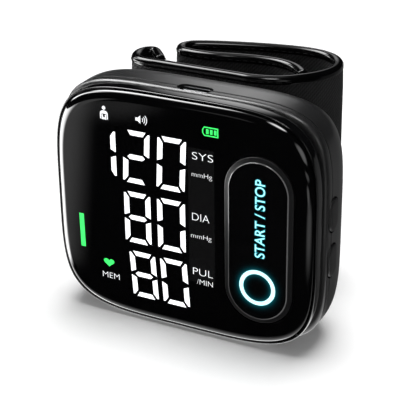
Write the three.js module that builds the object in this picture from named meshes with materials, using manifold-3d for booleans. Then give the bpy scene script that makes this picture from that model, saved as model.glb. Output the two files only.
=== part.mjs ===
// Wrist blood pressure monitor. A rounded-square housing carries a black window with a rolled edge, a long
// start button with a lit ring, two side keys and a charging socket. Pump, valve, sensor, battery and
// speaker sit behind the board, and a folded fabric cuff is held to the back.
// Millimetres, +Z up. The display faces -Y and the object stands on z = 0.
import * as THREE from 'three';
import { mergeVertices } from 'three/addons/utils/BufferGeometryUtils.js';
import Module from 'manifold-3d';

// Clearances
const fit = 0.3;              // between pieces that are cut to each other or move past each other
const seat = 0.2;             // between a piece and the flat face that carries it
const snug = 0.12;            // between the light ring and its groove

// Housing outline, seen from the front
const bodyWidth = 72.6;
const bodyHeight = 63.7;
const outlinePower = 4.4;     // exponent of the superellipse
const shellPower = 5;         // the same for the shells, whose corners are fuller
const outlineSteps = 44;
const shellOverhang = 0.8;    // the shells are wider than the bezel on each side

// Window and bezel
const windowThickness = 2.2;
const windowRoll = 1.6;       // radius of the rolled edge
const rollSteps = 4;
const windowInset = 0.9;      // from the bezel's widest outline
const tapeThickness = 0.4;
const tapeWidth = 1.7;
const bezelFront = 1.2;       // depth of the bezel's front edge behind the window's face
const bezelWidest = 3.8;
const bezelRear = 5.2;
const bezelLedge = 3.1;       // reach of the ledge that carries the window

// Front case and rear shell
const wall = 1.8;
const rearWall = 1.5;
const partingDepth = 8;
const caseShoulder = 1.2;     // round of the front case beside the bezel
const flangeReach = 5.5;
const flangeThickness = 1.3;
const tongueDepth = 1.8;
const tongueThickness = 1.2;
const flankEnd = 11.5;         // the flank is straight to here, then rounds into the back
const domeInset = 8.5;
const domeSteps = 6;           // of the outside, half as many inside

// Start button
const startWidth = 18.2;
const startHeight = 44.6;
const startEdge = 14.8;       // centre line to the housing's right side
const startDrop = 1.75;       // centre below the housing's centre
const startProud = 0.5;
const startBevel = 1.3;
const startSkin = 1.9;
const startFlange = 1.2;
const startFlangeThickness = 1;
const startRim = 1.6;
const startPostRadius = 2;
const startTravel = 0.5;
const ringRadius = 4.3;       // middle of the lit ring's stroke
const ringStroke = 1;
const ringDepth = 1.2;
const ringRise = 10;          // ring centre above the button's lower end

// Side keys
const keyLength = 8.6;
const keyWidth = 5;
const keyProud = 0.5;
const keyBevel = 0.5;
const keyRise = 5;            // upper key's centre above the housing's centre
const keyPitch = 12.4;
const keySetBack = 1.1;       // centre behind the parting line
const keyFlange = 0.6;        // reach of the ears beyond each end
const keyFlangeThickness = 0.8;
const keyPostRadius = 1.2;
const keyPostLength = 0.9;
const keyTravel = 0.4;

// Tactile switches
const switchSize = 6;
const switchHeight = 3.4;
const stemRadius = 1.6;
const stemOut = 0.5;
const stemIn = 1.1;
const sideSwitchLength = 4;
const sideSwitchHeight = 2.6;
const sideSwitchWidth = 6.4;
const sideStemRadius = 0.75;

// Display block
const ledDepth = 7;
const ledEnd = 7;             // block's end to the housing's top or bottom
const ledEdge = 9.1;          // left side of the block to the housing's left side
const ledCorner = 7;
const digitWidth = 7.4;
const digitPitch = 9.4;
const rowGap = 3.3;
const digitsMargin = 0.15;
const segmentWidth = 1.5;
const segmentGap = 0.25;
const segmentHeight = 0.4;
const digitsDrop = 1.7;       // middle row below the block's centre
const digitsEdge = 10.5;      // last digit's centre to the block's right side

// Board, charging socket and battery
const boardThickness = 1;
const boardInset = 4.4;
const socketWidth = 8.9;
const socketHeight = 3.2;
const socketLength = 7.3;
const socketSkin = 0.35;
const socketDepth = 6.2;
const socketSetBack = 0.4;
const socketOffset = 0.7;     // right of the housing's centre
const tongueWidth = 6.4;
const tongueHeight = 0.7;
const tongueLength = 4.6;
const cellWidth = 30;
const cellHeight = 26;
const cellThickness = 5.5;
const cellCorner = 2;

// Pump, valve, sensor and air path
const motorDiameter = 10.4;
const motorLength = 12;
const motorEdge = 8.6;        // motor's end to the housing's left side
const motorNeckRadius = 2.6;
const motorNeckLength = 0.8;
const shaftRadius = 0.75;
const shaftFlat = 0.25;
const pumpRise = 19.6;        // pump axis above the floor
const headSize = 10;
const headLength = 9;
const headSteps = 3;
const headGroove = 0.4;
const nippleRadius = 1;
const nippleLength = 3;
const hoseWall = 0.8;
const manifoldWidth = 8;
const manifoldHeight = 8;
const sensorSize = 7;
const sensorHeight = 2.4;
const sensorNozzle = 2.2;
const valveLength = 12;
const valveSize = 8.6;
const valveNose = 2.4;
const plungerRadius = 1.2;
const plungerLength = 6;
const plungerOut = 2;
const plungerTravel = 0.8;
const cradleLength = 8;
const cradleWidth = 12.4;

// Speaker
const speakerRadius = 7.4;
const speakerDepth = 3.4;
const speakerEdge = 17.4;     // centre to the housing's right side
const speakerRise = 12;       // above the housing's centre
const grilleRadius = 3.6;
const grilleHole = 0.7;
const grilleCount = 6;

// Case screws
const screwEdge = 7;          // from the housing's side
const screwEnd = 9.4;         // from the housing's top or bottom
const shankRadius = 1;
const shankLength = 6.4;
const headRadius = 1.9;
const headHeight = 1.6;
const bossRadius = 2.7;
const bossFloor = 0.6;
const postFloor = 1.8;

// Cuff and the plate that holds it
const plateThickness = 1;
const plateLeft = -22.7;
const plateMargin = 1.3;      // beyond the air port's right side
const plateEnd = 9;           // above the floor, and below the housing's top
const plateCorner = 4;
const lugWidth = 8;
const lugThickness = 1.8;
const lugLip = 0.9;
const lugX = -7.7;
const lugInset = 4;           // lug's middle to the plate's end
const cuffWidth = 62.2;
const cuffThickness = 2.8;
const cuffStep = 1.6;
const bladderThickness = 0.8;
const bladderLeft = -18.2;
const bladderReach = 4;       // right of the air port
const bladderHem = 5;
const portRadius = 1.8;
const portBore = 0.8;
const sealThickness = 1;
const patchThickness = 0.8;
const patchHem = 9;
const patchLength = 17.9;
const patchEnd = 4.7;         // short of the strap's end

// Middle line of the cuff from above: x, and how far it lies behind the run that is held to the housing
const cuffRoute = [
  [-20.8, 3.3], [-23.3, 6.3], [-25.7, 8.5], [-27.8, 7.3], [-28.4, 4.3], [-26.9, 1.2], [-23.2, 0],
  [-18.7, 0], [3.3, 0], [6.8, 0], [13.9, 1.9], [18.9, 6.1], [22.2, 10.6], [23.5, 15.2], [22.8, 19.6],
  [20.3, 22.9], [16.3, 24.9], [11.1, 25.4], [3.1, 24.4], [-5.4, 22.4], [-11.6, 20.5], [-16.1, 18.8],
  [-19.4, 16.9], [-20.4, 14.3], [-18.9, 12], [-15.5, 11.2], [-9.4, 11.4], [-3.2, 12.9], [3.1, 14],
  [8.9, 14], [13.3, 12.5], [16.2, 10.2], [17.7, 8.3],
];

// Places that follow from the sizes
const middle = bodyHeight / 2;
const shellHalfWidth = bodyWidth / 2 + shellOverhang;
const shellHalfHeight = middle;
const ledHeight = bodyHeight - 2 * ledEnd;
const rowPitch = (ledHeight - 2 * digitsMargin) / 3;
const digitHeight = rowPitch - rowGap;
const ledFront = windowThickness + fit;
const boardFront = ledFront + ledDepth + fit;
const boardRear = boardFront + boardThickness;
const motorDepth = boardRear + 2 * fit + motorDiameter / 2;
const rearInner = motorDepth + motorDiameter / 2 + 2 * fit;
const rearOuter = rearInner + rearWall;
const plateFront = rearOuter + seat;
const cuffFront = plateFront + plateThickness + seat;
const cuffMiddle = cuffFront + cuffThickness / 2;
const startX = bodyWidth / 2 - startEdge;
const startZ = middle - startDrop;
const ledLeft = ledEdge - bodyWidth / 2;
const ledRight = startX - startWidth / 2 - startFlange - fit;
const caseFront = bezelRear + seat;
const screwX = bodyWidth / 2 - screwEdge;
const screwZ = bodyHeight / 2 - screwEnd;
const postFront = boardRear + fit;
const postSeat = postFront + postFloor;
const motorLeft = motorEdge - bodyWidth / 2;
const headLeft = motorLeft + motorLength + motorNeckLength + fit;
const headRight = headLeft + headLength;
const manifoldLeft = headRight + 2 * nippleLength + fit;
const portX = manifoldLeft + manifoldWidth / 2;
const manifoldRight = manifoldLeft + manifoldWidth;
const manifoldFront = boardRear + fit + sensorHeight + fit;
const manifoldRear = rearInner - sealThickness - 2 * fit;
const valveLeft = manifoldRight + fit;
const bladderRight = portX + bladderReach;
const plateRight = portX + portRadius + plateMargin;
const speakerX = bodyWidth / 2 - speakerEdge;

const wasm = await Module();
wasm.setup();

// Joining and cutting

function solid(geometry) {
  const bare = geometry.clone();
  bare.deleteAttribute('normal');
  bare.deleteAttribute('uv');
  const merged = mergeVertices(bare, 1e-4);
  return new wasm.Manifold(new wasm.Mesh({
    numProp: 3,
    vertProperties: new Float32Array(merged.attributes.position.array),
    triVerts: new Uint32Array(merged.index.array),
  }));
}

function join(...geometries) {
  return geometries.map(solid).reduce((sum, piece) => sum.add(piece));
}

function cut(body, ...geometries) {
  return geometries.map(solid).reduce((rest, tool) => rest.subtract(tool), body);
}

function skin(body) {
  const mesh = body.getMesh();
  const geometry = new THREE.BufferGeometry();
  geometry.setAttribute('position', new THREE.BufferAttribute(new Float32Array(mesh.vertProperties), 3));
  geometry.setIndex(new THREE.BufferAttribute(new Uint32Array(mesh.triVerts), 1));
  geometry.computeVertexNormals();
  return geometry;
}

// Basic forms, all placed where they belong

function block(x0, x1, y0, y1, z0, z1) {
  const geometry = new THREE.BoxGeometry(x1 - x0, y1 - y0, z1 - z0);
  return geometry.translate((x0 + x1) / 2, (y0 + y1) / 2, (z0 + z1) / 2);
}

function rodY(radius, y0, y1, x, z, sides = 12) {
  return new THREE.CylinderGeometry(radius, radius, y1 - y0, sides).translate(x, (y0 + y1) / 2, z);
}

function rodX(radius, x0, x1, y, z, sides = 10) {
  const geometry = new THREE.CylinderGeometry(radius, radius, x1 - x0, sides);
  return geometry.rotateZ(-Math.PI / 2).translate((x0 + x1) / 2, y, z);
}

function turned(profile, sides = 20) {
  return new THREE.LatheGeometry(profile.map(([radius, along]) => new THREE.Vector2(radius, along)), sides);
}

function turnedX(profile, y, z, sides = 20) {
  return turned(profile, sides).rotateZ(-Math.PI / 2).translate(0, y, z);
}

// A drawing in x and z, pushed back from y0 to y1
function pushedY(drawing, y0, y1, curveSegments = 5) {
  const geometry = new THREE.ExtrudeGeometry(drawing, { depth: y1 - y0, bevelEnabled: false, curveSegments });
  return geometry.rotateX(Math.PI / 2).translate(0, y1, 0);
}

// A drawing in y and z, pushed from x0 to x1
function pushedX(drawing, x0, x1, curveSegments = 5) {
  const geometry = new THREE.ExtrudeGeometry(drawing, { depth: x1 - x0, bevelEnabled: false, curveSegments });
  const turn = new THREE.Matrix4().makeBasis(
    new THREE.Vector3(0, 1, 0),
    new THREE.Vector3(0, 0, 1),
    new THREE.Vector3(1, 0, 0),
  );
  return geometry.applyMatrix4(turn).translate(x0, 0, 0);
}

// A drawing in x and y, pushed up from z0 to z1
function pushedZ(drawing, z0, z1, curveSegments = 5) {
  const geometry = new THREE.ExtrudeGeometry(drawing, { depth: z1 - z0, bevelEnabled: false, curveSegments });
  return geometry.translate(0, 0, z0);
}

function roundedRectangle(x0, x1, y0, y1, radius) {
  const drawing = new THREE.Shape();
  drawing.moveTo(x0 + radius, y0);
  drawing.lineTo(x1 - radius, y0);
  drawing.absarc(x1 - radius, y0 + radius, radius, -Math.PI / 2, 0);
  drawing.lineTo(x1, y1 - radius);
  drawing.absarc(x1 - radius, y1 - radius, radius, 0, Math.PI / 2);
  drawing.lineTo(x0 + radius, y1);
  drawing.absarc(x0 + radius, y1 - radius, radius, Math.PI / 2, Math.PI);
  drawing.lineTo(x0, y0 + radius);
  drawing.absarc(x0 + radius, y0 + radius, radius, Math.PI, Math.PI * 1.5);
  return drawing;
}

// Upright pill, and one that lies on its side, about a centre
function pill(x, y, width, height) {
  const round = Math.min(width, height) / 2;
  return roundedRectangle(x - width / 2, x + width / 2, y - height / 2, y + height / 2, round);
}

// Rings of equal point count, joined one after the other; a single point closes an end
function loft(rings) {
  const points = [];
  const starts = [];
  const faces = [];
  for (const ring of rings) {
    starts.push(points.length);
    points.push(...ring);
  }
  for (let k = 0; k + 1 < rings.length; k++) {
    const here = rings[k];
    const next = rings[k + 1];
    const count = Math.max(here.length, next.length);
    for (let i = 0; i < count; i++) {
      const j = (i + 1) % count;
      const a = starts[k] + (here.length > 1 ? i : 0);
      const b = starts[k] + (here.length > 1 ? j : 0);
      const c = starts[k + 1] + (next.length > 1 ? i : 0);
      const d = starts[k + 1] + (next.length > 1 ? j : 0);
      if (next.length > 1) faces.push(a, c, d);
      if (here.length > 1) faces.push(a, d, b);
    }
  }
  const geometry = new THREE.BufferGeometry();
  const position = new Float32Array(points.flatMap((point) => [point.x, point.y, point.z]));
  geometry.setAttribute('position', new THREE.BufferAttribute(position, 3));
  geometry.setIndex(faces);
  geometry.computeVertexNormals();
  return geometry;
}

// The housing's rounded-square outline at one depth
function outlineRing(halfWidth, halfHeight, depth, power) {
  const ring = [];
  for (let i = 0; i < outlineSteps; i++) {
    const turn = ((i + 0.5) / outlineSteps) * 2 * Math.PI;
    const across = Math.cos(turn);
    const up = Math.sin(turn);
    ring.push(new THREE.Vector3(
      halfWidth * Math.sign(across) * Math.abs(across) ** (2 / power),
      depth,
      middle + halfHeight * Math.sign(up) * Math.abs(up) ** (2 / power),
    ));
  }
  return ring;
}

// A profile of inset and depth carried round the outline. An inset of null is the middle axis.
function roundOutline(halfWidth, halfHeight, profile, power = outlinePower) {
  return loft(profile.map(([inset, depth]) => (inset === null
    ? [new THREE.Vector3(0, depth, middle)]
    : outlineRing(halfWidth - inset, halfHeight - inset, depth, power))));
}

function roundShell(profile) {
  return roundOutline(shellHalfWidth, shellHalfHeight, profile, shellPower);
}

function closed(profile) {
  return [...profile, profile[0]];
}

// Window, tape and bezel

function makeWindow() {
  const roll = [];
  for (let i = 0; i <= rollSteps; i++) {
    const angle = (i / rollSteps) * Math.PI / 2;
    roll.push([windowInset + windowRoll * (1 - Math.sin(angle)), windowRoll * (1 - Math.cos(angle))]);
  }
  const pane = roundOutline(bodyWidth / 2, bodyHeight / 2, [
    [null, 0],
    ...roll,
    [windowInset, windowThickness],
    [null, windowThickness],
  ]);
  const opening = pill(startX, startZ, startWidth + 2 * fit, startHeight + 2 * fit);
  return skin(cut(solid(pane), pushedY(opening, -fit, windowThickness + fit)));
}

function makeTape() {
  const front = windowThickness + seat / 2;
  const rear = front + tapeThickness - seat;
  const outer = windowInset + fit;
  return roundOutline(bodyWidth / 2, bodyHeight / 2, closed([
    [outer, front],
    [outer, rear],
    [outer + tapeWidth, rear],
    [outer + tapeWidth, front],
  ]));
}

function makeBezel() {
  const inner = windowInset - fit;
  const ledge = windowThickness + tapeThickness;
  return roundOutline(bodyWidth / 2, bodyHeight / 2, closed([
    [inner, bezelFront + inner / 3],
    [inner * 0.7, bezelFront],
    [inner * 0.35, bezelFront + inner / 3],
    [inner * 0.12, (bezelFront + bezelWidest) / 2],
    [0, bezelWidest],
    [inner * 0.2, (bezelWidest + bezelRear) / 2],
    [inner, bezelRear],
    [bezelLedge, bezelRear],
    [bezelLedge, ledge],
    [inner, ledge],
  ]));
}

// Openings that the two shells share along their parting line

const keyDepth = partingDepth + keySetBack;

function keyCentre(number) {
  return middle + keyRise - number * keyPitch;
}

const socketDepthMiddle = boardFront - seat - socketHeight / 2;
const socketTop = middle + shellHalfHeight - socketSetBack;

const underTop = middle + shellHalfHeight - wall;

function socketRoom() {
  const half = socketWidth / 2 + 2 * fit;
  return block(
    socketOffset - half, socketOffset + half,
    caseFront - fit, boardFront + fit,
    socketTop - socketLength - fit, underTop,
  );
}

function sharedOpenings() {
  const mouth = pill(socketOffset, socketDepthMiddle, socketWidth + 2 * fit, socketHeight + 2 * fit);
  const openings = [pushedZ(mouth, underTop - fit, bodyHeight + fit), socketRoom()];
  for (const number of [0, 1]) {
    const slot = pill(keyDepth, keyCentre(number), keyWidth + 2 * fit, keyLength + 2 * fit);
    const inside = shellHalfWidth - wall;
    const roomWidth = keyWidth / 2 + fit;
    const roomLength = keyLength / 2 + keyFlange + fit;
    openings.push(pushedX(slot, inside - fit, shellHalfWidth + keyProud + fit));
    openings.push(block(
      screwX, inside,
      keyDepth - roomWidth, keyDepth + roomWidth,
      keyCentre(number) - roomLength, keyCentre(number) + roomLength,
    ));
  }
  return openings;
}

const screwPlaces = [[-1, 1], [1, 1], [1, -1], [-1, -1]].map(([side, end]) => [
  side * screwX,
  middle + end * screwZ,
]);

function displayOutline(gap) {
  const half = ledHeight / 2 + gap;
  return roundedRectangle(ledLeft - gap, ledRight + gap, middle - half, middle + half, ledCorner + gap);
}

// Front case: a satin band with an inner flange, a tongue into the rear shell and four screw bosses

function makeFrontCase() {
  const bossEnd = boardFront - seat;
  const band = roundShell(closed([
    [caseShoulder, caseFront],
    [caseShoulder * 0.3, caseFront + caseShoulder * 0.3],
    [0, caseFront + caseShoulder],
    [0, partingDepth - seat / 2],
    [wall + fit, partingDepth - seat / 2],
    [wall + fit, partingDepth + tongueDepth],
    [wall + fit + tongueThickness, partingDepth + tongueDepth],
    [wall + fit + tongueThickness, caseFront + flangeThickness],
    [flangeReach, caseFront + flangeThickness],
    [flangeReach, caseFront],
  ]));
  const inside = solid(roundShell([
    [null, caseFront],
    [wall + fit, caseFront],
    [wall + fit, bossEnd],
    [null, bossEnd],
  ]));
  const bosses = join(...screwPlaces.map(([x, z]) => rodY(bossRadius, caseFront, bossEnd, x, z)));
  const boreFront = caseFront + bossFloor;
  const boreRear = Math.max(bossEnd, partingDepth + tongueDepth) + fit;
  const bores = screwPlaces.map(([x, z]) => rodY(shankRadius + fit, boreFront, boreRear, x, z));
  const room = pushedY(displayOutline(fit), caseFront - fit, boardFront);
  const body = solid(band).add(bosses.intersect(inside));
  return skin(cut(body, room, ...sharedOpenings(), ...bores));
}

// Rear shell: a shallow dome with screw posts, an air port, a speaker grille and slots for the cuff plate

function domeProfile(first, base, last, steps) {
  const points = [];
  for (let i = 0; i <= steps; i++) {
    const angle = (i / steps) * Math.PI / 2;
    points.push([base + domeInset * (1 - Math.cos(angle)), first + (last - first) * Math.sin(angle)]);
  }
  return points;
}

// The space inside the rear shell, kept clear of its wall
function shellRoom(gap) {
  return solid(roundShell([
    [null, flankEnd],
    ...domeProfile(flankEnd, wall + gap, rearInner - gap, domeSteps / 2),
    [null, rearInner - gap],
  ]));
}

function lugMiddle(end) {
  return middle + end * (middle - plateEnd - lugInset);
}

function makeRearShell() {
  const front = partingDepth + seat / 2;
  const outside = domeProfile(flankEnd, 0, rearOuter, domeSteps);
  const inside = domeProfile(flankEnd, wall, rearInner, domeSteps / 2).reverse();
  const full = solid(roundShell([
    [null, front],
    [0, front],
    ...outside,
    [null, rearOuter],
  ]));
  const shell = solid(roundShell([
    [null, rearInner],
    ...inside,
    [wall, front],
    [0, front],
    ...outside,
    [null, rearOuter],
  ]));
  const posts = screwPlaces.map(([x, z]) => rodY(bossRadius + fit, postFront, rearOuter, x, z));
  const shanks = screwPlaces.map(([x, z]) => rodY(shankRadius + fit, postFront - fit, postSeat + fit, x, z));
  const wells = screwPlaces.map(([x, z]) => rodY(headRadius + fit, postSeat, rearOuter + fit, x, z));
  const grille = [rodY(grilleHole, rearInner - fit, rearOuter + fit, speakerX, middle + speakerRise, 6)];
  for (let i = 0; i < grilleCount; i++) {
    const turn = (i / grilleCount) * 2 * Math.PI;
    const x = speakerX + grilleRadius * Math.cos(turn);
    const z = middle + speakerRise + grilleRadius * Math.sin(turn);
    grille.push(rodY(grilleHole, rearInner - fit, rearOuter + fit, x, z, 6));
  }
  const port = rodY(portRadius + fit, rearInner - fit, rearOuter + fit, portX, pumpRise);
  const slots = [1, -1].map((end) => {
    const half = lugThickness / 2 + fit;
    return block(
      lugX - lugWidth / 2 - fit, lugX + lugWidth / 2 + fit,
      rearInner - fit, rearOuter + fit,
      lugMiddle(end) - half - (end < 0 ? lugLip : 0), lugMiddle(end) + half + (end > 0 ? lugLip : 0),
    );
  });
  const body = shell.add(join(...posts).intersect(full));
  return skin(cut(body, ...sharedOpenings(), ...shanks, ...wells, ...grille, port, ...slots));
}

// Start button: a bevelled pill with a flange behind the window, a hollow back and a post on its switch

const ringZ = startZ - startHeight / 2 + ringRise;
const startFlangeFront = windowThickness + fit;
const startFlangeRear = startFlangeFront + startFlangeThickness;
const startSwitchFront = boardFront - seat - switchHeight;
const startStemFront = startSwitchFront - stemOut;

function pillRing(width, height, depth) {
  const points = pill(startX, startZ, width, height).getPoints(8);
  const ring = points.map((point) => new THREE.Vector3(point.x, depth, point.y));
  return ring.filter((point, i) => point.distanceTo(ring[(i + 1) % ring.length]) > 1e-6);
}

function makeStartButton() {
  const top = -startProud;
  const step = 2 * startFlange;
  const rings = [
    pillRing(startWidth - 2 * startBevel, startHeight - 2 * startBevel, top),
    pillRing(startWidth, startHeight, 0),
    pillRing(startWidth, startHeight, startFlangeFront),
    pillRing(startWidth + step, startHeight + step, startFlangeFront),
    pillRing(startWidth + step, startHeight + step, startFlangeRear),
  ];
  const cap = loft([
    [new THREE.Vector3(startX, top, startZ)],
    ...rings,
    [new THREE.Vector3(startX, startFlangeRear, startZ)],
  ]);
  const hollow = pill(startX, startZ, startWidth - 2 * startRim, startHeight - 2 * startRim);
  const half = ringStroke / 2 + snug;
  const groove = turned(closed([
    [ringRadius - half, top - fit],
    [ringRadius + half, top - fit],
    [ringRadius + half, top + ringDepth + snug],
    [ringRadius - half, top + ringDepth + snug],
  ]), 32).translate(startX, 0, ringZ);
  const post = rodY(startPostRadius, top + startSkin - fit, startStemFront - fit, startX, startZ);
  const shell = cut(solid(cap), pushedY(hollow, top + startSkin, startFlangeRear + fit), groove);
  return skin(shell.add(solid(post)));
}

function makeStartRing() {
  const half = ringStroke / 2;
  return turned(closed([
    [ringRadius - half, -startProud],
    [ringRadius + half, -startProud],
    [ringRadius + half, ringDepth - startProud],
    [ringRadius - half, ringDepth - startProud],
  ]), 32).translate(startX, 0, ringZ);
}

// Side keys: a pill with a sloped rim, a flange inside the wall and a post on its switch

const keyFace = shellHalfWidth + keyProud;
const keyFlangeRight = shellHalfWidth - wall - fit;
const keyFlangeLeft = keyFlangeRight - keyFlangeThickness;
const sideStemRight = keyFlangeLeft - keyPostLength - fit;
const sideSwitchRight = sideStemRight - stemOut;
const sideSwitchDepth = boardFront - seat - sideSwitchHeight / 2;

function makeKey(number) {
  const z = keyCentre(number);
  const outer = pill(keyDepth, z, keyWidth, keyLength).getPoints(5);
  const inner = pill(keyDepth, z, keyWidth - 2 * keyBevel, keyLength - 2 * keyBevel).getPoints(5);
  const ring = (points, x) => {
    const placed = points.map((point) => new THREE.Vector3(x, point.x, point.y));
    return placed.filter((point, i) => point.distanceTo(placed[(i + 1) % placed.length]) > 1e-6);
  };
  const root = keyFlangeRight - keyFlangeThickness / 2;
  const cap = loft([
    [new THREE.Vector3(keyFace, keyDepth, z)],
    ring(inner, keyFace),
    ring(outer, keyFace - keyBevel),
    ring(outer, root),
    [new THREE.Vector3(root, keyDepth, z)],
  ]);
  const flange = pill(keyDepth, z, keyWidth, keyLength + 2 * keyFlange);
  const post = rodX(keyPostRadius, keyFlangeLeft - keyPostLength, keyFlangeRight, sideSwitchDepth, z);
  return skin(join(cap, pushedX(flange, keyFlangeLeft, keyFlangeRight), post));
}

// Tactile switches: a body with a bore, and the stem that sinks into it

function makeStartSwitch() {
  const half = switchSize / 2;
  const body = block(
    startX - half, startX + half,
    startSwitchFront, boardFront - seat,
    startZ - half, startZ + half,
  );
  const boreEnd = startSwitchFront + stemIn + startTravel + fit;
  const bore = rodY(stemRadius + fit, startSwitchFront - fit, boreEnd, startX, startZ);
  return skin(cut(solid(body), bore));
}

function makeStartStem() {
  return rodY(stemRadius, startStemFront, startSwitchFront + stemIn, startX, startZ);
}

function makeSideSwitch(number) {
  const z = keyCentre(number);
  const half = sideSwitchWidth / 2;
  const front = boardFront - seat - sideSwitchHeight;
  const left = sideSwitchRight - sideSwitchLength;
  const body = block(left, sideSwitchRight, front, boardFront - seat, z - half, z + half);
  const boreEnd = sideSwitchRight - stemIn - keyTravel - fit;
  const bore = rodX(sideStemRadius + fit, boreEnd, sideSwitchRight + fit, sideSwitchDepth, z);
  return skin(cut(solid(body), bore));
}

function makeSideStem(number) {
  return rodX(sideStemRadius, sideSwitchRight - stemIn, sideStemRight, sideSwitchDepth, keyCentre(number));
}

// Display block: three rows of two full digits and a leading one, as raised light guides

function segmentShape(x, z, length, upright) {
  const half = length / 2;
  const thick = segmentWidth / 2;
  const corners = [
    [-half, 0], [thick - half, -thick], [half - thick, -thick],
    [half, 0], [half - thick, thick], [thick - half, thick],
  ];
  return new THREE.Shape(corners.map(([along, across]) => (upright
    ? new THREE.Vector2(x - across, z + along)
    : new THREE.Vector2(x + along, z + across))));
}

function digitSegments(x, z, leadingOne) {
  const right = x + (digitWidth - segmentWidth) / 2;
  const left = x - (digitWidth - segmentWidth) / 2;
  const rise = (digitHeight - segmentWidth) / 4;
  const upright = 2 * rise - segmentGap;
  const flat = digitWidth - segmentWidth - segmentGap;
  const segments = [
    segmentShape(right, z + rise, upright, true),
    segmentShape(right, z - rise, upright, true),
  ];
  if (!leadingOne) {
    segments.push(segmentShape(left, z + rise, upright, true), segmentShape(left, z - rise, upright, true));
    for (const level of [-2 * rise, 0, 2 * rise]) {
      segments.push(segmentShape(x, z + level, flat, false));
    }
  }
  return segments;
}

function makeDisplayBlock() {
  const face = ledFront + segmentHeight;
  const pieces = [pushedY(displayOutline(0), face, boardFront - seat)];
  for (const row of [1, 0, -1]) {
    for (const column of [0, 1, 2]) {
      const x = ledRight - digitsEdge - column * digitPitch;
      const z = middle - digitsDrop + row * rowPitch;
      for (const segment of digitSegments(x, z, column === 2)) {
        pieces.push(pushedY(segment, ledFront, face + segmentHeight));
      }
    }
  }
  return skin(cut(join(...pieces), socketRoom()));
}

// Board with screw holes

function makeBoard() {
  const board = roundOutline(shellHalfWidth, shellHalfHeight, [
    [null, boardFront],
    [boardInset, boardFront],
    [boardInset, boardRear],
    [null, boardRear],
  ]);
  const holes = screwPlaces.map(([x, z]) => rodY(shankRadius + fit, boardFront - fit, boardRear + fit, x, z));
  return skin(cut(solid(board), ...holes));
}

// Charging socket: a metal sleeve that is open at the top, and the tongue inside it

function makeSocket() {
  const bottom = socketTop - socketLength;
  const sleeve = pushedZ(pill(socketOffset, socketDepthMiddle, socketWidth, socketHeight), bottom, socketTop);
  const cavityWidth = socketWidth - 2 * socketSkin;
  const cavityHeight = socketHeight - 2 * socketSkin;
  const cavity = pill(socketOffset, socketDepthMiddle, cavityWidth, cavityHeight);
  return skin(cut(solid(sleeve), pushedZ(cavity, socketTop - socketDepth, socketTop + fit)));
}

function makeSocketTongue() {
  const floor = socketTop - socketDepth + seat;
  return block(
    socketOffset - tongueWidth / 2, socketOffset + tongueWidth / 2,
    socketDepthMiddle - tongueHeight / 2, socketDepthMiddle + tongueHeight / 2,
    floor, floor + tongueLength,
  );
}

// Battery

function makeCell() {
  const left = ledLeft;
  const bottom = pumpRise + Math.max(headSize, motorDiameter) / 2 + 2 * fit;
  const drawing = roundedRectangle(left, left + cellWidth, bottom, bottom + cellHeight, cellCorner);
  return pushedY(drawing, boardRear + seat, boardRear + seat + cellThickness, 3);
}

// Pump: motor, shaft, stacked head and rubber cradle

function makeMotor() {
  const bore = shaftRadius + fit;
  const radius = motorDiameter / 2;
  const right = motorLeft + motorLength;
  return turnedX(closed([
    [bore, motorLeft],
    [motorNeckRadius, motorLeft],
    [motorNeckRadius, motorLeft + motorNeckLength],
    [radius, motorLeft + motorNeckLength],
    [radius, right],
    [motorNeckRadius, right],
    [motorNeckRadius, right + motorNeckLength],
    [bore, right + motorNeckLength],
  ]), motorDepth, pumpRise);
}

const shaftEnd = headLeft + headLength / 3;

function makeShaft() {
  const rod = rodX(shaftRadius, motorLeft - motorNeckLength, shaftEnd, motorDepth, pumpRise);
  const flat = block(
    headLeft, shaftEnd + fit,
    motorDepth - shaftRadius - fit, motorDepth + shaftRadius + fit,
    pumpRise + shaftRadius - shaftFlat, pumpRise + shaftRadius + fit,
  );
  return skin(cut(solid(rod), flat));
}

function makePumpHead() {
  const slab = headLength / headSteps;
  const pieces = [];
  const plate = (x0, x1, size) => pushedX(roundedRectangle(
    motorDepth - size / 2, motorDepth + size / 2,
    pumpRise - size / 2, pumpRise + size / 2,
    size / 5,
  ), x0, x1, 1);
  pieces.push(plate(headLeft, headRight, headSize - 2 * headGroove));
  for (let i = 0; i < headSteps; i++) {
    pieces.push(plate(headLeft + i * slab, headLeft + (i + 1) * slab - headGroove, headSize));
  }
  pieces.push(rodX(nippleRadius, headRight - fit, headRight + nippleLength, motorDepth, pumpRise));
  const bore = rodX(shaftRadius + fit, headLeft - fit, shaftEnd + fit, motorDepth, pumpRise);
  return skin(cut(join(...pieces), bore));
}

function makeCradle() {
  const left = motorLeft + motorNeckLength + fit;
  const right = left + cradleLength;
  const pad = block(
    left, right,
    motorDepth + motorDiameter / 5, rearInner,
    pumpRise - cradleWidth / 2, pumpRise + cradleWidth / 2,
  );
  const hollow = rodX(motorDiameter / 2 + fit, left - fit, right + fit, motorDepth, pumpRise, 20);
  return skin(cut(solid(pad).intersect(shellRoom(seat)), hollow));
}

// Air path: hose, manifold, sensor and exhaust valve

function makeHose() {
  const bore = nippleRadius + fit;
  return turnedX(closed([
    [bore, headRight + fit],
    [bore + hoseWall, headRight + fit],
    [bore + hoseWall, manifoldLeft - fit],
    [bore, manifoldLeft - fit],
  ]), motorDepth, pumpRise, 14);
}

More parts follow.
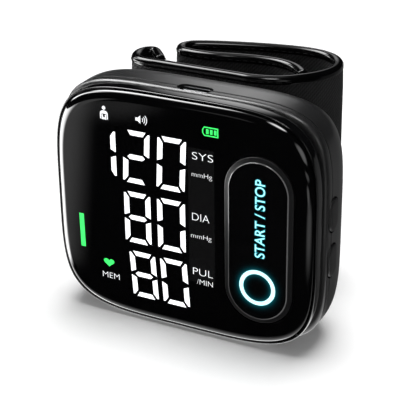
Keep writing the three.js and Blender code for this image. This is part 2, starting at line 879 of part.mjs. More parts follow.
function makeManifold() {
  const low = pumpRise - manifoldHeight / 2;
  const body = block(manifoldLeft, manifoldRight, manifoldFront, manifoldRear, low, low + manifoldHeight);
  const inlet = rodX(nippleRadius, manifoldLeft - nippleLength, manifoldLeft + fit, motorDepth, pumpRise);
  const socketRadius = nippleRadius + fit;
  return skin(cut(
    join(body, inlet),
    rodY(socketRadius, manifoldFront - fit, manifoldFront + sensorNozzle, portX, pumpRise),
    rodX(socketRadius, manifoldRight - valveNose, manifoldRight + fit, motorDepth, pumpRise),
    rodY(portRadius + fit, manifoldRear - nippleLength, manifoldRear + fit, portX, pumpRise),
  ));
}

function makeSensor() {
  const half = sensorSize / 2;
  const top = boardRear + seat + sensorHeight;
  const can = block(portX - half, portX + half, boardRear + seat, top, pumpRise - half, pumpRise + half);
  return skin(join(can, rodY(nippleRadius, top - fit, top + sensorNozzle, portX, pumpRise)));
}

const valveRight = valveLeft + valveLength;

function makeValve() {
  const half = valveSize / 2;
  const body = pushedX(
    roundedRectangle(motorDepth - half, motorDepth + half, pumpRise - half, pumpRise + half, half / 3),
    valveLeft, valveRight, 2,
  );
  const nose = rodX(nippleRadius, valveLeft - valveNose + fit, valveLeft + fit, motorDepth, pumpRise);
  const boreEnd = valveRight + plungerOut - plungerLength - plungerTravel - fit;
  return skin(cut(
    join(body, nose),
    rodX(plungerRadius + fit, boreEnd, valveRight + fit, motorDepth, pumpRise),
  ));
}

function makePlunger() {
  const right = valveRight + plungerOut;
  return rodX(plungerRadius, right - plungerLength, right, motorDepth, pumpRise);
}

// Speaker: a dished basket that faces the grille

function makeSpeaker() {
  const rear = rearInner - seat;
  const front = rear - speakerDepth;
  const rim = speakerRadius * 0.84;
  return turned([
    [0, front],
    [speakerRadius * 0.6, front],
    [speakerRadius * 0.6, front + speakerDepth * 0.45],
    [speakerRadius, front + speakerDepth * 0.6],
    [speakerRadius, rear],
    [rim, rear],
    [rim * 0.45, rear - speakerDepth * 0.35],
    [0, rear - speakerDepth * 0.2],
  ]).translate(speakerX, 0, middle + speakerRise);
}

// Case screw, with its shank towards the front

function makeScrew(x, z) {
  const under = postSeat + seat;
  return turned([
    [0, under - shankLength],
    [shankRadius, under - shankLength],
    [shankRadius, under],
    [headRadius, under],
    [headRadius, under + headHeight * 0.6],
    [headRadius * 0.7, under + headHeight],
    [0, under + headHeight],
  ], 10).translate(x, 0, z);
}

// Cuff plate with two hooked lugs through the back of the shell

function makeCuffPlate() {
  const sheet = roundedRectangle(plateLeft, plateRight, plateEnd, bodyHeight - plateEnd, plateCorner);
  const pieces = [pushedY(sheet, plateFront, plateFront + plateThickness, 3)];
  const lipRear = rearInner - seat;
  for (const end of [1, -1]) {
    const z = lugMiddle(end);
    const half = lugThickness / 2;
    const left = lugX - lugWidth / 2;
    pieces.push(block(left, left + lugWidth, lipRear - lugLip, plateFront + fit, z - half, z + half));
    pieces.push(block(
      left, left + lugWidth,
      lipRear - lugLip, lipRear,
      z - half - (end < 0 ? lugLip : 0), z + half + (end > 0 ? lugLip : 0),
    ));
  }
  const hole = rodY(portRadius + fit, plateFront - fit, plateFront + plateThickness + fit, portX, pumpRise);
  return skin(cut(join(...pieces), hole));
}

// Cuff: one band that follows the route, cut at the outermost point of its right bend

const cuffCurve = new THREE.CatmullRomCurve3(
  cuffRoute.map(([x, behind]) => new THREE.Vector3(x, cuffMiddle + behind, 0)),
  false,
  'centripetal',
);
cuffCurve.arcLengthDivisions = 2000;
const cuffLength = cuffCurve.getLength();

function rightmost() {
  const samples = 2000;
  let best = 0;
  for (let i = 0; i <= samples; i++) {
    if (cuffCurve.getPointAt(i / samples).x > cuffCurve.getPointAt(best).x) best = i / samples;
  }
  return best;
}

const cuffSplit = rightmost();

// Outline of a band along the curve, its middle shifted to the left of the direction of travel
function bandShape(from, to, thickness, shift = 0) {
  const steps = Math.ceil(((to - from) * cuffLength) / cuffStep);
  const left = [];
  const right = [];
  for (let i = 0; i <= steps; i++) {
    const u = from + ((to - from) * i) / steps;
    const point = cuffCurve.getPointAt(u);
    const along = cuffCurve.getTangentAt(u);
    const side = new THREE.Vector2(-along.y, along.x);
    const at = new THREE.Vector2(point.x, point.y);
    left.push(at.clone().addScaledVector(side, shift + thickness / 2));
    right.push(at.clone().addScaledVector(side, shift - thickness / 2));
  }
  return new THREE.Shape([...right, ...left.reverse()]);
}

function makeCuffBase() {
  const band = pushedZ(bandShape(0, cuffSplit - fit / 2 / cuffLength, cuffThickness), 0, cuffWidth);
  const half = bladderThickness / 2 + fit;
  const pocket = block(
    bladderLeft - fit, bladderRight + fit,
    cuffMiddle - half, cuffMiddle + half,
    -fit, cuffWidth - bladderHem + fit,
  );
  const hole = rodY(portRadius + fit, cuffFront - fit, cuffMiddle, portX, pumpRise);
  return skin(cut(solid(band), pocket, hole));
}

function makeCuffStrap() {
  return pushedZ(bandShape(cuffSplit + fit / 2 / cuffLength, 1, cuffThickness), 0, cuffWidth);
}

function makeBladder() {
  const front = cuffMiddle - bladderThickness / 2;
  const top = cuffWidth - bladderHem;
  const sheet = roundedRectangle(bladderLeft, bladderRight, bladderHem, top, bladderHem / 2);
  const bag = pushedY(sheet, front, front + bladderThickness, 3);
  const tip = manifoldRear - nippleLength + fit;
  const port = turned(closed([
    [portBore, tip],
    [portRadius, tip],
    [portRadius, front + fit],
    [portBore, front + fit],
  ]), 16).translate(portX, 0, pumpRise);
  const mouth = rodY(portBore, tip - fit, front + fit, portX, pumpRise);
  return skin(cut(join(bag, port), mouth));
}

function makePortSeal() {
  const tube = sealThickness / 2;
  const ring = new THREE.TorusGeometry(portRadius + fit + tube, tube, 6, 16);
  return ring.rotateX(Math.PI / 2).translate(portX, (manifoldRear + rearInner) / 2, pumpRise);
}

function makeHookPatch() {
  const to = 1 - patchEnd / cuffLength;
  const from = to - patchLength / cuffLength;
  const shift = -(cuffThickness + patchThickness) / 2 - fit;
  return pushedZ(bandShape(from, to, patchThickness, shift), patchHem, cuffWidth - patchHem);
}

// Finishes

const finishes = {
  glossBlack: { color: 0x050506, roughness: 0.08, metalness: 0 },
  satinBlack: { color: 0x1a1a1b, roughness: 0.5, metalness: 0 },
  keyBlack: { color: 0x121213, roughness: 0.45, metalness: 0 },
  lightGuide: { color: 0x9fe6ee, roughness: 0.3, metalness: 0 },
  displayBlock: { color: 0xd8d8d4, roughness: 0.6, metalness: 0 },
  board: { color: 0x0f3d24, roughness: 0.5, metalness: 0 },
  metal: { color: 0xb4b6b8, roughness: 0.3, metalness: 1 },
  rubber: { color: 0x161616, roughness: 0.8, metalness: 0 },
  silicone: { color: 0xd9d9d2, roughness: 0.5, metalness: 0 },
  cell: { color: 0x8f959b, roughness: 0.4, metalness: 0.4 },
  whitePlastic: { color: 0xe6e4de, roughness: 0.5, metalness: 0 },
  fabric: { color: 0x101011, roughness: 0.9, metalness: 0 },
};

function piece(name, geometry, finish) {
  const mesh = new THREE.Mesh(geometry, new THREE.MeshStandardMaterial(finishes[finish]));
  mesh.name = name;
  return mesh;
}

// Assembly, grouped as it comes apart

const front = new THREE.Group();
front.add(
  piece('display_window', makeWindow(), 'glossBlack'),
  piece('window_tape', makeTape(), 'rubber'),
  piece('front_bezel', makeBezel(), 'glossBlack'),
  piece('front_case', makeFrontCase(), 'satinBlack'),
  piece('start_button', makeStartButton(), 'glossBlack'),
  piece('start_ring', makeStartRing(), 'lightGuide'),
);

const electronics = new THREE.Group();
electronics.add(
  piece('display_block', makeDisplayBlock(), 'displayBlock'),
  piece('main_board', makeBoard(), 'board'),
  piece('start_switch', makeStartSwitch(), 'keyBlack'),
  piece('start_stem', makeStartStem(), 'whitePlastic'),
  piece('charging_socket', makeSocket(), 'metal'),
  piece('socket_tongue', makeSocketTongue(), 'keyBlack'),
  piece('battery_cell', makeCell(), 'cell'),
  piece('speaker', makeSpeaker(), 'metal'),
);
['memory', 'set'].forEach((use, number) => {
  electronics.add(
    piece(`${use}_key`, makeKey(number), 'keyBlack'),
    piece(`${use}_switch`, makeSideSwitch(number), 'keyBlack'),
    piece(`${use}_stem`, makeSideStem(number), 'whitePlastic'),
  );
});

const pneumatics = new THREE.Group();
pneumatics.add(
  piece('pump_motor', makeMotor(), 'metal'),
  piece('motor_shaft', makeShaft(), 'metal'),
  piece('pump_head', makePumpHead(), 'whitePlastic'),
  piece('pump_cradle', makeCradle(), 'rubber'),
  piece('pump_hose', makeHose(), 'silicone'),
  piece('air_manifold', makeManifold(), 'whitePlastic'),
  piece('pressure_sensor', makeSensor(), 'whitePlastic'),
  piece('exhaust_valve', makeValve(), 'metal'),
  piece('valve_plunger', makePlunger(), 'metal'),
  piece('port_seal', makePortSeal(), 'rubber'),
);

const back = new THREE.Group();
back.add(
  piece('rear_shell', makeRearShell(), 'satinBlack'),
  piece('cuff_plate', makeCuffPlate(), 'satinBlack'),
);
screwPlaces.forEach(([x, z], i) => {
  back.add(piece(`case_screw_${i + 1}`, makeScrew(x, z), 'metal'));
});

const cuff = new THREE.Group();
cuff.add(
  piece('cuff_base', makeCuffBase(), 'fabric'),
  piece('cuff_strap', makeCuffStrap(), 'fabric'),
  piece('cuff_bladder', makeBladder(), 'silicone'),
  piece('hook_patch', makeHookPatch(), 'fabric'),
);

// The origin is under the middle of the whole object: between the side key's face and the left flank,
// and between the start button's face and the rearmost point of the cuff
const monitor = new THREE.Group();
monitor.add(front, electronics, pneumatics, back, cuff);
const rearmost = new THREE.Box3().setFromObject(cuff).max.y;
monitor.position.set(-keyProud / 2, (startProud - rearmost) / 2, 0);

export default monitor;
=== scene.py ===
"""Looks of a wrist blood pressure monitor: glossy window, satin shells, lit display and folded cuff."""

from math import atan2, cos, pi, prod, radians, sin

import bmesh
import bpy
import numpy as np
from mathutils import Matrix, Vector


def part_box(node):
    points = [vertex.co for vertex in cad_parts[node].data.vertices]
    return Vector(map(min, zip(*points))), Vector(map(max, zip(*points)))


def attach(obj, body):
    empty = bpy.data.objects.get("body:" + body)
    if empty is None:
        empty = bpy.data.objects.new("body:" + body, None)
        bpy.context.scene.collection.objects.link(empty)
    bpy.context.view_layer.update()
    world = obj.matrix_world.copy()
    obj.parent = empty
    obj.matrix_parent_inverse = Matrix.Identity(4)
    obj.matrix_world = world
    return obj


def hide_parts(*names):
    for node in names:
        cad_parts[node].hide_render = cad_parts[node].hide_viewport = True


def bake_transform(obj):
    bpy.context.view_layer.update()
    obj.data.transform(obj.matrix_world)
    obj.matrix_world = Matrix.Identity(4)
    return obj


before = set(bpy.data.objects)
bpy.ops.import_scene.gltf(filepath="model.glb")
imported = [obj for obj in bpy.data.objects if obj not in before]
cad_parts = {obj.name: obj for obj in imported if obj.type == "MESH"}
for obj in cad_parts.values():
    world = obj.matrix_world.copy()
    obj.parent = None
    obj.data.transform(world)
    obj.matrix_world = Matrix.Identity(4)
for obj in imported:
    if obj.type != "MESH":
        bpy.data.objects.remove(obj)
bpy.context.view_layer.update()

MM = 0.001

# Place of the housing: its middle and the face of the window, read from the frame
PANE_LOW, PANE_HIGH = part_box("display_window")
HOUSE_X = (PANE_LOW.x + PANE_HIGH.x) / 2
HOUSE_Z = (PANE_LOW.z + PANE_HIGH.z) / 2
FACE_Y = PANE_LOW.y

# Housing
BODY_HALF = (36.3 * MM, 31.85 * MM)
SHELL_HALF = (37.1 * MM, 31.85 * MM)
OUTLINE_POWER = 4.4
SHELL_POWER = 5.0
OUTLINE_POINTS = 384
OUTLINE_HALVINGS = 44
FIT = 0.3 * MM
SMALL_ROUND = 0.18 * MM

# Window and bezel, as insets from the bezel's outline and depths behind the window's face
PANE_INSET = 0.78 * MM
PANE_ROLL = 2.4 * MM
PANE_TURN = radians(50)
PANE_EDGE = 0.7 * MM
PANE_THICKNESS = 2.2 * MM
PANE_FLATS = (0.4 * MM, 0.1 * MM)
PANE_TAPE = 0.4 * MM
BEZEL_PROFILE = [
    (0.62, 1.75), (0.61, 1.42), (0.57, 1.26), (0.48, 1.2), (0.32, 1.21), (0.18, 1.27), (0.1, 1.42),
    (0.05, 1.7), (0.02, 2.2), (0.0, 2.8), (0.0, 3.4), (0.04, 4.05), (0.17, 4.6), (0.38, 4.98), (0.6, 5.2),
]
BEZEL_LEDGE = 3.1 * MM

# Shells
CASE_FRONT = 5.4 * MM
CASE_SHOULDER = 1.2 * MM
CASE_LEDGE = 5 * MM
CASE_FLAT = 0.5 * MM
CASE_HEM = 0.6 * MM
PARTING = 8.0 * MM
PARTING_GAP = 0.2 * MM
WALL = 1.8 * MM
FLANK_END = 11.5 * MM
DOME_INSET = 8.5 * MM
FLOOR_INSET = DOME_INSET + 8 * MM
CUP_HEM = 0.5 * MM
CUP_FLAT = 0.4 * MM
REAR_INNER = 22.4 * MM
REAR_OUTER = 23.9 * MM

# Start button, its light ring and its word
START_AT = (21.5 * MM, -1.75 * MM)
START_WIDTH = 18.2 * MM
START_HEIGHT = 44.6 * MM
START_PROUD = 0.5 * MM
START_BEVEL = 1.3 * MM
START_STEP = 0.14 * MM
START_EASE = 0.16 * MM
START_BACK = 3.4 * MM
RING_Z = -14.05 * MM
RING_RADIUS = 4.3 * MM
RING_HALF = 0.5 * MM
RING_DEPTH = 1.2 * MM
RING_CROWN = 0.12 * MM
RING_PLAY = 0.06 * MM
RING_LIFT = 0.1 * MM
GLOW_REACH = 0.42 * MM
GLOW_COLOUR = (0.0, 0.36, 0.45)
BEVEL_GREY = (0.009, 0.009, 0.0095)
BEVEL_ROUGH = 0.33
BEVEL_SPECULAR = 0.17
BEVEL_EASE = 0.15 * MM
# Crest of the start button's bevel: a thin light grey line painted on the plastic, a painted highlight
CREST_HIGHLIGHT_GREY = (0.17, 0.17, 0.172)
CREST_HIGHLIGHT_REACH = 0.2 * MM

# Side keys, whose crown is insets and depths below the face in millimetres
KEY_LENGTH = 8.6 * MM
KEY_WIDTH = 5.0 * MM
KEY_PROUD = 0.5 * MM
KEY_GAP = 0.42 * MM
KEY_DEPTH = 9.1 * MM
KEY_HEIGHTS = {"memory": 5.0 * MM, "set": -7.4 * MM}
KEY_ROOT = 34.2 * MM
KEY_CROWN = [(1.9, -0.02), (1.2, 0.0), (0.8, 0.03), (0.45, 0.1), (0.2, 0.22), (0.05, 0.4), (0.0, 0.6)]

# Charging socket
SOCKET_AT = (0.7 * MM, 8.0 * MM)
SOCKET_WIDTH = 8.9 * MM
SOCKET_HEIGHT = 3.2 * MM
SOCKET_SKIN = 0.35 * MM
SOCKET_EASE = 0.1 * MM
SOCKET_TOP = 31.45 * MM
SOCKET_LENGTH = 7.3 * MM
SOCKET_HOLE = 6.2 * MM
TONGUE_WIDTH = 6.4 * MM
TONGUE_HEIGHT = 0.7 * MM
TONGUE_SINK = 0.3 * MM

# Screws and speaker grille in the back
SCREW_X = 29.3 * MM
SCREW_Z = 22.45 * MM
SCREW_PLACES = [(side * SCREW_X, end * SCREW_Z) for side, end in ((-1, 1), (1, 1), (1, -1), (-1, -1))]
SCREW_HEAD = 1.9 * MM
SCREW_RISE = 1.6 * MM
SCREW_PLAY = 0.2 * MM
SCREW_PROFILE = [(0.55, 0.0), (1.0, 0.0), (1.0, 0.35), (0.94, 0.62), (0.78, 0.85), (0.5, 0.97), (0.12, 1.0)]
SCREW_TURNS = (0.3, 0.9, 0.1, 0.6)
CROSS_REACH = 1.1 * MM
CROSS_HALF = 0.22 * MM
WELL_RADIUS = 2.2 * MM
WELL_FLOOR = 13.1 * MM
GRILLE_AT = (18.9 * MM, 12.0 * MM)
GRILLE_RADIUS = 3.6 * MM
GRILLE_HOLE = 0.7 * MM
GRILLE_COUNT = 6

# Cuff: width along Z, thickness, and the route of its middle line as x and distance behind the front run
CUFF_WIDTH = 62.2 * MM
CUFF_HALF = 1.4 * MM
CUFF_EDGE_HALF = 1.12 * MM
CUFF_CROWN = 9.0 * MM
CUFF_MIDDLE = 26.7 * MM
CUFF_RIPPLE = 0.05 * MM
CUFF_WAVES = ((1.0, 310, 95), (0.6, 173, -140))
BINDING_REACH = 0.8 * MM
BINDING_PROUD = 0.2 * MM
BOUND_HALF = CUFF_EDGE_HALF + BINDING_PROUD
BINDING_END = [(0.0, -0.4), (-0.02, -0.15), (-0.1, -0.03)]
BINDING_TUCK = 0.02 * MM
BINDING_CLEAR = 0.3 * MM
CUFF_STEP = 0.7 * MM
END_ROUND = 1.3 * MM
PATCH_HEM = 9.0 * MM
PATCH_LENGTH = 17.9 * MM
PATCH_END = 4.7 * MM
PATCH_GAP = 0.12 * MM
PATCH_CROWN = 0.12 * MM
PATCH_RISE = 0.95 * MM
PATCH_SOFT = 0.3 * MM
STITCH_LENGTH = 1.5 * MM
STITCH_THICKNESS = 0.13 * MM
STITCH_INSET = 0.7 * MM
STITCH_EVERY = 3
CUFF_ROUTE = [
    (-20.8, 3.3), (-23.3, 6.3), (-25.7, 8.5), (-27.8, 7.3), (-28.4, 4.3), (-26.9, 1.2), (-23.2, 0),
    (-18.7, 0), (3.3, 0), (6.8, 0), (13.9, 1.9), (18.9, 6.1), (22.2, 10.6), (23.5, 15.2), (22.8, 19.6),
    (20.3, 22.9), (16.3, 24.9), (11.1, 25.4), (3.1, 24.4), (-5.4, 22.4), (-11.6, 20.5), (-16.1, 18.8),
    (-19.4, 16.9), (-20.4, 14.3), (-18.9, 12), (-15.5, 11.2), (-9.4, 11.4), (-3.2, 12.9), (3.1, 14),
    (8.9, 14), (13.3, 12.5), (16.2, 10.2), (17.7, 8.3),
]
BEND_REACH = 15.0 * MM

# Display marks, in millimetres from the housing's middle; boxes are left, right, low and high
DIGIT_STROKE = 1.42
DIGIT_FLAT_STROKE = 1.28
DIGIT_GAP = 0.48
DIGIT_ROWS = [
    (7.25, 21.4, 0.048, [("2", -15.47, -8.17), ("0", -5.93, 1.88)]),
    (-9.5, 4.7, 0.0, [("8", -15.73, -8.2), ("0", -6.25, 1.58)]),
    (-24.95, -11.95, -0.066, [("8", -14.37, -6.92), ("0", -5.45, 2.14)]),
    (7.76, 20.66, 0.0, [("1", -24.64, -17.64)]),
]
LIT_STROKES = {"0": "abcdef", "1": "bc", "2": "abdeg", "8": "abcdefg"}
LEGENDS = [
    ("SYS", 3.75, 9.45, 16.93, 18.83), ("mmHg", 3.62, 9.15, 12.0, 13.6), ("DIA", 3.55, 8.3, 0.55, 2.5),
    ("mmHg", 3.17, 8.84, -4.7, -3.1), ("PUL", 3.56, 9.15, -14.65, -12.75), ("/MIN", 4.63, 9.1, -17.2, -15.75),
    ("MEM", -23.15, -18.1, -21.6, -20.0),
]
LEGEND_WEIGHT = -0.016
PERSON_AT = (-20.59, 24.8)
HORN_AT = (-10.9, 24.67)
HORN = [(-0.75, -0.42), (-0.15, -0.42), (0.65, -1.05), (0.65, 1.05), (-0.15, 0.42), (-0.75, 0.42)]
HEART_AT = (-21.06, -17.0)
BATTERY_BOX = (6.6, 10.9, 23.56, 25.96)
LEVEL_BAR = [(-29.44, -4.45), (-28.1, -4.45), (-27.98, -13.95), (-29.32, -13.95)]
STRIP_BOX = (2.58, 9.71, -16.7, 19.9)
STRIP_PROUD = 0.008 * MM
START_WORD = "START / STOP"
WORD_BOX = np.array((20.8, 23.4, -5.6, 15.1))
HALO_WEIGHT = 0.05
HALO_BOX = WORD_BOX + np.array((-1, 1, -1, 1)) * HALO_WEIGHT * 3
MARK_PROUD = 0.02 * MM
MARK_SINK = 0.05 * MM
WORD_SINK = 0.04 * MM

# Camera, from the housing's middle and the window's face, fitted to the photograph's perspective
CAMERA_AT = (137.74 * MM, -253.95 * MM, 141.74 * MM)
CAMERA_AIM = (3.713 * MM, 4.0 * MM, 4.244 * MM)
CAMERA_ROLL = -0.7486
CAMERA_LENS = 116.83

# Light: a soft sun, and lamps and lit patches that only gloss sees
AMBIENT = 0.3
FLOOR_GREYS = (0.9, 0.92)
FLOOR_LIFT = 0.03
SUN_STRENGTH = 3.3
SUN_FROM = (-0.02, 0.15, 1.0)
SUN_SPREAD = 36.0
# Lamps of the studio: direction, angles of the full light and of its end, strength
STUDIO_LAMPS = [
    ((-0.55, -0.08, 0.83), 8, 20, 24.0), ((-0.5, 0.36, 0.8), 12, 24, 4.0), ((-0.42, 0.25, 0.87), 20, 42, 1.0),
    ((0.12, -0.52, 0.84), 5, 12, 16.0), ((-0.36, -0.895, 0.26), 2, 6, 0.45), ((0.57, -0.79, 0.2), 5, 18, 2.2),
]
# A streak and the table's strips of light, as soft rises along an axis: start, end and strength
STREAK_SIDE = (0.044, -0.804, -0.594)
STREAK_OFF = 0.17
STREAK = [("off", 0.1, 0.04, 18.0), ("z", 0.15, 0.3), ("z", 0.72, 0.6), ("x", -0.4, -0.5)]
HAZE_FROM, HAZE_SLOPE = 26.0, 0.583
LEAN_FROM = -35.0
TABLE_STRIPS = {
    "left haze": [("across", -43, -55.5, 0.85), ("y", -14, -26)],
    "left strip": [("x", -46, -58, 14.0), ("leaning", -1.1, -0.45), ("leaning", 0.2, -0.05)],
    "right line": [("x", 112, 40, 2.5), ("y", -4, 4), ("y", 20, 12)],
    "foot line": [("y", 0.8, 1.6, 3.5), ("y", 5, 3), ("x", -38, -26), ("x", 34, 26)],
    "behind": [("y", -5, 60, 0.18)],
}
# Round patches in millimetres: place, radius of the full light and of its end, strength
TABLE_PATCHES = [
    (-64, -26, 4, 14, 0.5), (76, -62, 10, 42, 1.0), (82, -106, 8, 30, 1.4), (-98, -134, 4, 24, 0.28),
    (140, -185, 20, 62, 1.1),
]
BACK_GLOW = (-32, 112, 6, 50, 2.2)


# Shared mesh helpers

def place(points):
    """Points given as x, depth and height from the housing's middle, moved into the frame."""
    return np.asarray(points, float) + np.array((HOUSE_X, FACE_Y, HOUSE_Z))


def link(name, data):
    """An object in the scene for a mesh, lettering, lamp or camera."""
    made = bpy.data.objects.new(name, data)
    bpy.context.scene.collection.objects.link(made)
    return made


def mesh_piece(name, vertices, faces, material):
    """A mesh object with one of the named materials."""
    mesh = bpy.data.meshes.new(name)
    mesh.from_pydata([tuple(v) for v in vertices], [], faces)
    mesh.materials.append(LOOKS[material])
    return link(name, mesh)


def drawn_piece(name, edit, material):
    """An object with the mesh that was drawn in an edit."""
    made = mesh_piece(name, [], [], material)
    edit.to_mesh(made.data)
    edit.free()
    return made


def settle(piece, sharp=35.0):
    """Merges doubles, turns the faces outwards and smooths all but the edges sharper than an angle."""
    edit = bmesh.new()
    edit.from_mesh(piece.data)
    bmesh.ops.remove_doubles(edit, verts=edit.verts, dist=1e-7)
    bmesh.ops.recalc_face_normals(edit, faces=edit.faces)
    edit.to_mesh(piece.data)
    edit.free()
    piece.data.shade_smooth()
    piece.data.set_sharp_from_angle(angle=radians(sharp))
    return piece


def band(a, b, count):
    """Faces between two rings whose points start at a and b."""
    return [(a + i, a + (i + 1) % count, b + (i + 1) % count, b + i) for i in range(count)]


def loft(name, rings, material, loop=False, sharp=35.0):
    """A skin through rings of equally many points, closed on itself or by flat ends."""
    count, last = len(rings[0]), len(rings) - 1
    pairs = [(k, k + 1) for k in range(last)] + ([(last, 0)] if loop else [])
    faces = [face for a, b in pairs for face in band(a * count, b * count, count)]
    if not loop:
        faces += [tuple(range(count)), tuple(range(last * count, (last + 1) * count))]
    return settle(mesh_piece(name, np.concatenate(rings), faces, material), sharp)


def plain_mesh(piece):
    """The mesh that an object's modifiers or lettering make."""
    bpy.context.view_layer.update()
    return bpy.data.meshes.new_from_object(piece.evaluated_get(bpy.context.evaluated_depsgraph_get()))


def bake_modifiers(piece):
    mesh = plain_mesh(piece)
    piece.modifiers.clear()
    piece.data = mesh


def combine(piece, others, operation):
    """Joins closed shapes to a piece, or takes them out of it."""
    for other in others:
        step = piece.modifiers.new("combine", "BOOLEAN")
        step.operation, step.solver, step.object = operation, "EXACT", other
    bake_modifiers(piece)
    for other in others:
        bpy.data.objects.remove(other)


def carve(piece, cutters, sharp=35.0):
    combine(piece, cutters, "DIFFERENCE")
    return settle(piece, sharp)


def rays(count):
    """Directions all round, as across and up."""
    turns = np.arange(count) / count * 2 * pi
    return np.column_stack((np.cos(turns), np.sin(turns)))


def sweep(steps, stop=pi / 2):
    """Even angles from 0 to a last one."""
    return [k / steps * stop for k in range(steps + 1)]


def bar(left, right, low, high):
    return [(left, low), (right, low), (right, high), (left, high)]


def circle(radius, count, centre=(0.0, 0.0)):
    return centre + radius * rays(count)


def rounded_square(half, inset, centre=(0.0, 0.0), power=OUTLINE_POWER):
    """The housing's outline on rays from a centre inside it."""
    near, far = np.zeros((OUTLINE_POINTS, 1)), np.full((OUTLINE_POINTS, 1), 2 * sum(half))
    for _ in range(OUTLINE_HALVINGS):
        reach = (near + far) / 2
        part = np.abs((centre + reach * rays(OUTLINE_POINTS)) / (np.array(half) - inset))
        outside = (part**power).sum(axis=1, keepdims=True) > 1
        near, far = np.where(outside, near, reach), np.where(outside, reach, far)
    return centre + near * rays(OUTLINE_POINTS)


def pill(width, height, centre, count):
    """A stadium on rays from its centre, its long side up."""
    across, up = np.hsplit(np.abs(rays(count)), 2)
    radius, straight = width / 2, (height - width) / 2
    beside = radius / np.maximum(across, 1e-9)
    round_end = straight * up + np.sqrt(np.maximum(radius**2 - (straight * across) ** 2, 0))
    return centre + np.where(beside * up <= straight, beside, round_end) * rays(count)


def at_depth(outline, depth):
    return np.insert(outline, 1, depth, axis=1)


def facing_front(outline, depth):
    """An outline of x and height, set at a depth on the housing."""
    return place(at_depth(outline, depth))


def facing_right(outline, x):
    """An outline of depth and height, set on the housing's side."""
    return place(np.insert(outline, 0, x, axis=1))


def facing_up(outline, height):
    """An outline of depth and x, set about the charging socket's middle."""
    return place(np.insert(outline[:, ::-1] + SOCKET_AT, 2, height, axis=1))


def pill_rings(facing, width, height, centre, steps, count=OUTLINE_POINTS):
    """Rings for steps of inset from a pill's outline and place along the way it faces."""
    return [facing(pill(width - 2 * inset, height - 2 * inset, centre, count), at) for inset, at in steps]


def start_rings(steps):
    return pill_rings(facing_front, START_WIDTH, START_HEIGHT, START_AT, steps)


def socket_rings(width, height, steps, count):
    return pill_rings(facing_up, height, width, (0.0, 0.0), steps, count)


def key_rings(name, steps, count):
    return pill_rings(facing_right, KEY_WIDTH, KEY_LENGTH, (KEY_DEPTH, KEY_HEIGHTS[name]), steps, count)


def around(half, profile, centre=(0.0, 0.0), power=OUTLINE_POWER):
    """Rings for a profile of inset and depth carried round the housing's outline."""
    return [facing_front(rounded_square(half, inset, centre, power), depth) for inset, depth in profile]


def around_shell(profile):
    return around(SHELL_HALF, profile, power=SHELL_POWER)


def eased(depth, sign):
    """A small round from a flank to an edge at a depth, as insets and depths."""
    parts = ((0, 1), (0.3, 0.3), (1, 0))
    return [(SMALL_ROUND * part, depth + sign * SMALL_ROUND * rest) for part, rest in parts]


# Shared shader helpers

def add(tree, kind, inputs=None, **settings):
    """One node with its settings, and its inputs set or wired."""
    made = tree.nodes.new(kind)
    for name, value in settings.items():
        setattr(made, name, value)
    for name, value in (inputs or {}).items():
        value = getattr(value, "socket", value)
        if isinstance(value, bpy.types.NodeSocket):
            tree.links.new(value, made.inputs[name])
        else:
            made.inputs[name].default_value = value
    return made


def worked(operation, swapped=False):
    """A way to work with an Amount, by one maths node."""
    def work(self, other=0.0):
        pair = (other, self) if swapped else (self, other)
        made = add(self.id_data, "ShaderNodeMath", dict(enumerate(pair)), operation=operation)
        return Amount(made.outputs[0])
    return work


class Amount:
    """A number that a shader works out, which takes plain arithmetic."""

    def __init__(self, socket):
        self.socket, self.id_data = socket, socket.id_data

    __add__ = __radd__ = worked("ADD")
    __mul__ = __rmul__ = worked("MULTIPLY")
    __sub__, __rsub__ = worked("SUBTRACT"), worked("SUBTRACT", swapped=True)
    __truediv__, __abs__ = worked("DIVIDE"), worked("ABSOLUTE")
    root, exponent, larger, zigzag = map(worked, ("SQRT", "EXPONENT", "MAXIMUM", "PINGPONG"))


def distance(across, up):
    return (across * across + up * up).root()


def ranged(value, start, end, low=0.0, high=1.0, kind="LINEAR"):
    """Goes from low to high as a value goes from start to end."""
    ends = {"From Min": start, "From Max": end, "To Min": low, "To Max": high}
    made = add(value.id_data, "ShaderNodeMapRange", {"Value": value, **ends}, interpolation_type=kind)
    return Amount(made.outputs["Result"])


def smooth(value, start, end, most=1.0):
    """Rises softly from 0 to most as a value goes from start to end."""
    return ranged(value, start, end, 0.0, most, "SMOOTHSTEP")


def noise(where, scale, detail=2.0):
    made = add(where.id_data, "ShaderNodeTexNoise", {"Vector": where, "Scale": scale, "Detail": detail})
    return Amount(made.outputs["Fac"])


def here(tree):
    return add(tree, "ShaderNodeTexCoord").outputs["Object"]


def axes(where):
    return [Amount(part) for part in add(where.id_data, "ShaderNodeSeparateXYZ", {"Vector": where}).outputs]


def mixed(factor, first, second):
    """A colour between two others, each of them three numbers or a node's result."""
    first, second = (c if isinstance(c, bpy.types.NodeSocket) else (*c, 1) for c in (first, second))
    made = add(factor.id_data, "ShaderNodeMix", {"Factor": factor, 6: first, 7: second}, data_type="RGBA")
    return made.outputs[2]


def opening(tree, name, kind, way="INPUT"):
    """A named way into or out of a node group."""
    return tree.interface.new_socket(name, in_out=way, socket_type=f"NodeSocket{kind}")


def shader_group(name, numbers, results):
    """An empty shader group that takes a vector and named numbers and gives named numbers."""
    tree = bpy.data.node_groups.new(name, "ShaderNodeTree")
    opening(tree, "Vector", "Vector")
    for number, value in numbers.items():
        opening(tree, number, "Float").default_value = value
    for result in results:
        opening(tree, result, "Float", "OUTPUT")
    return tree, add(tree, "NodeGroupInput").outputs


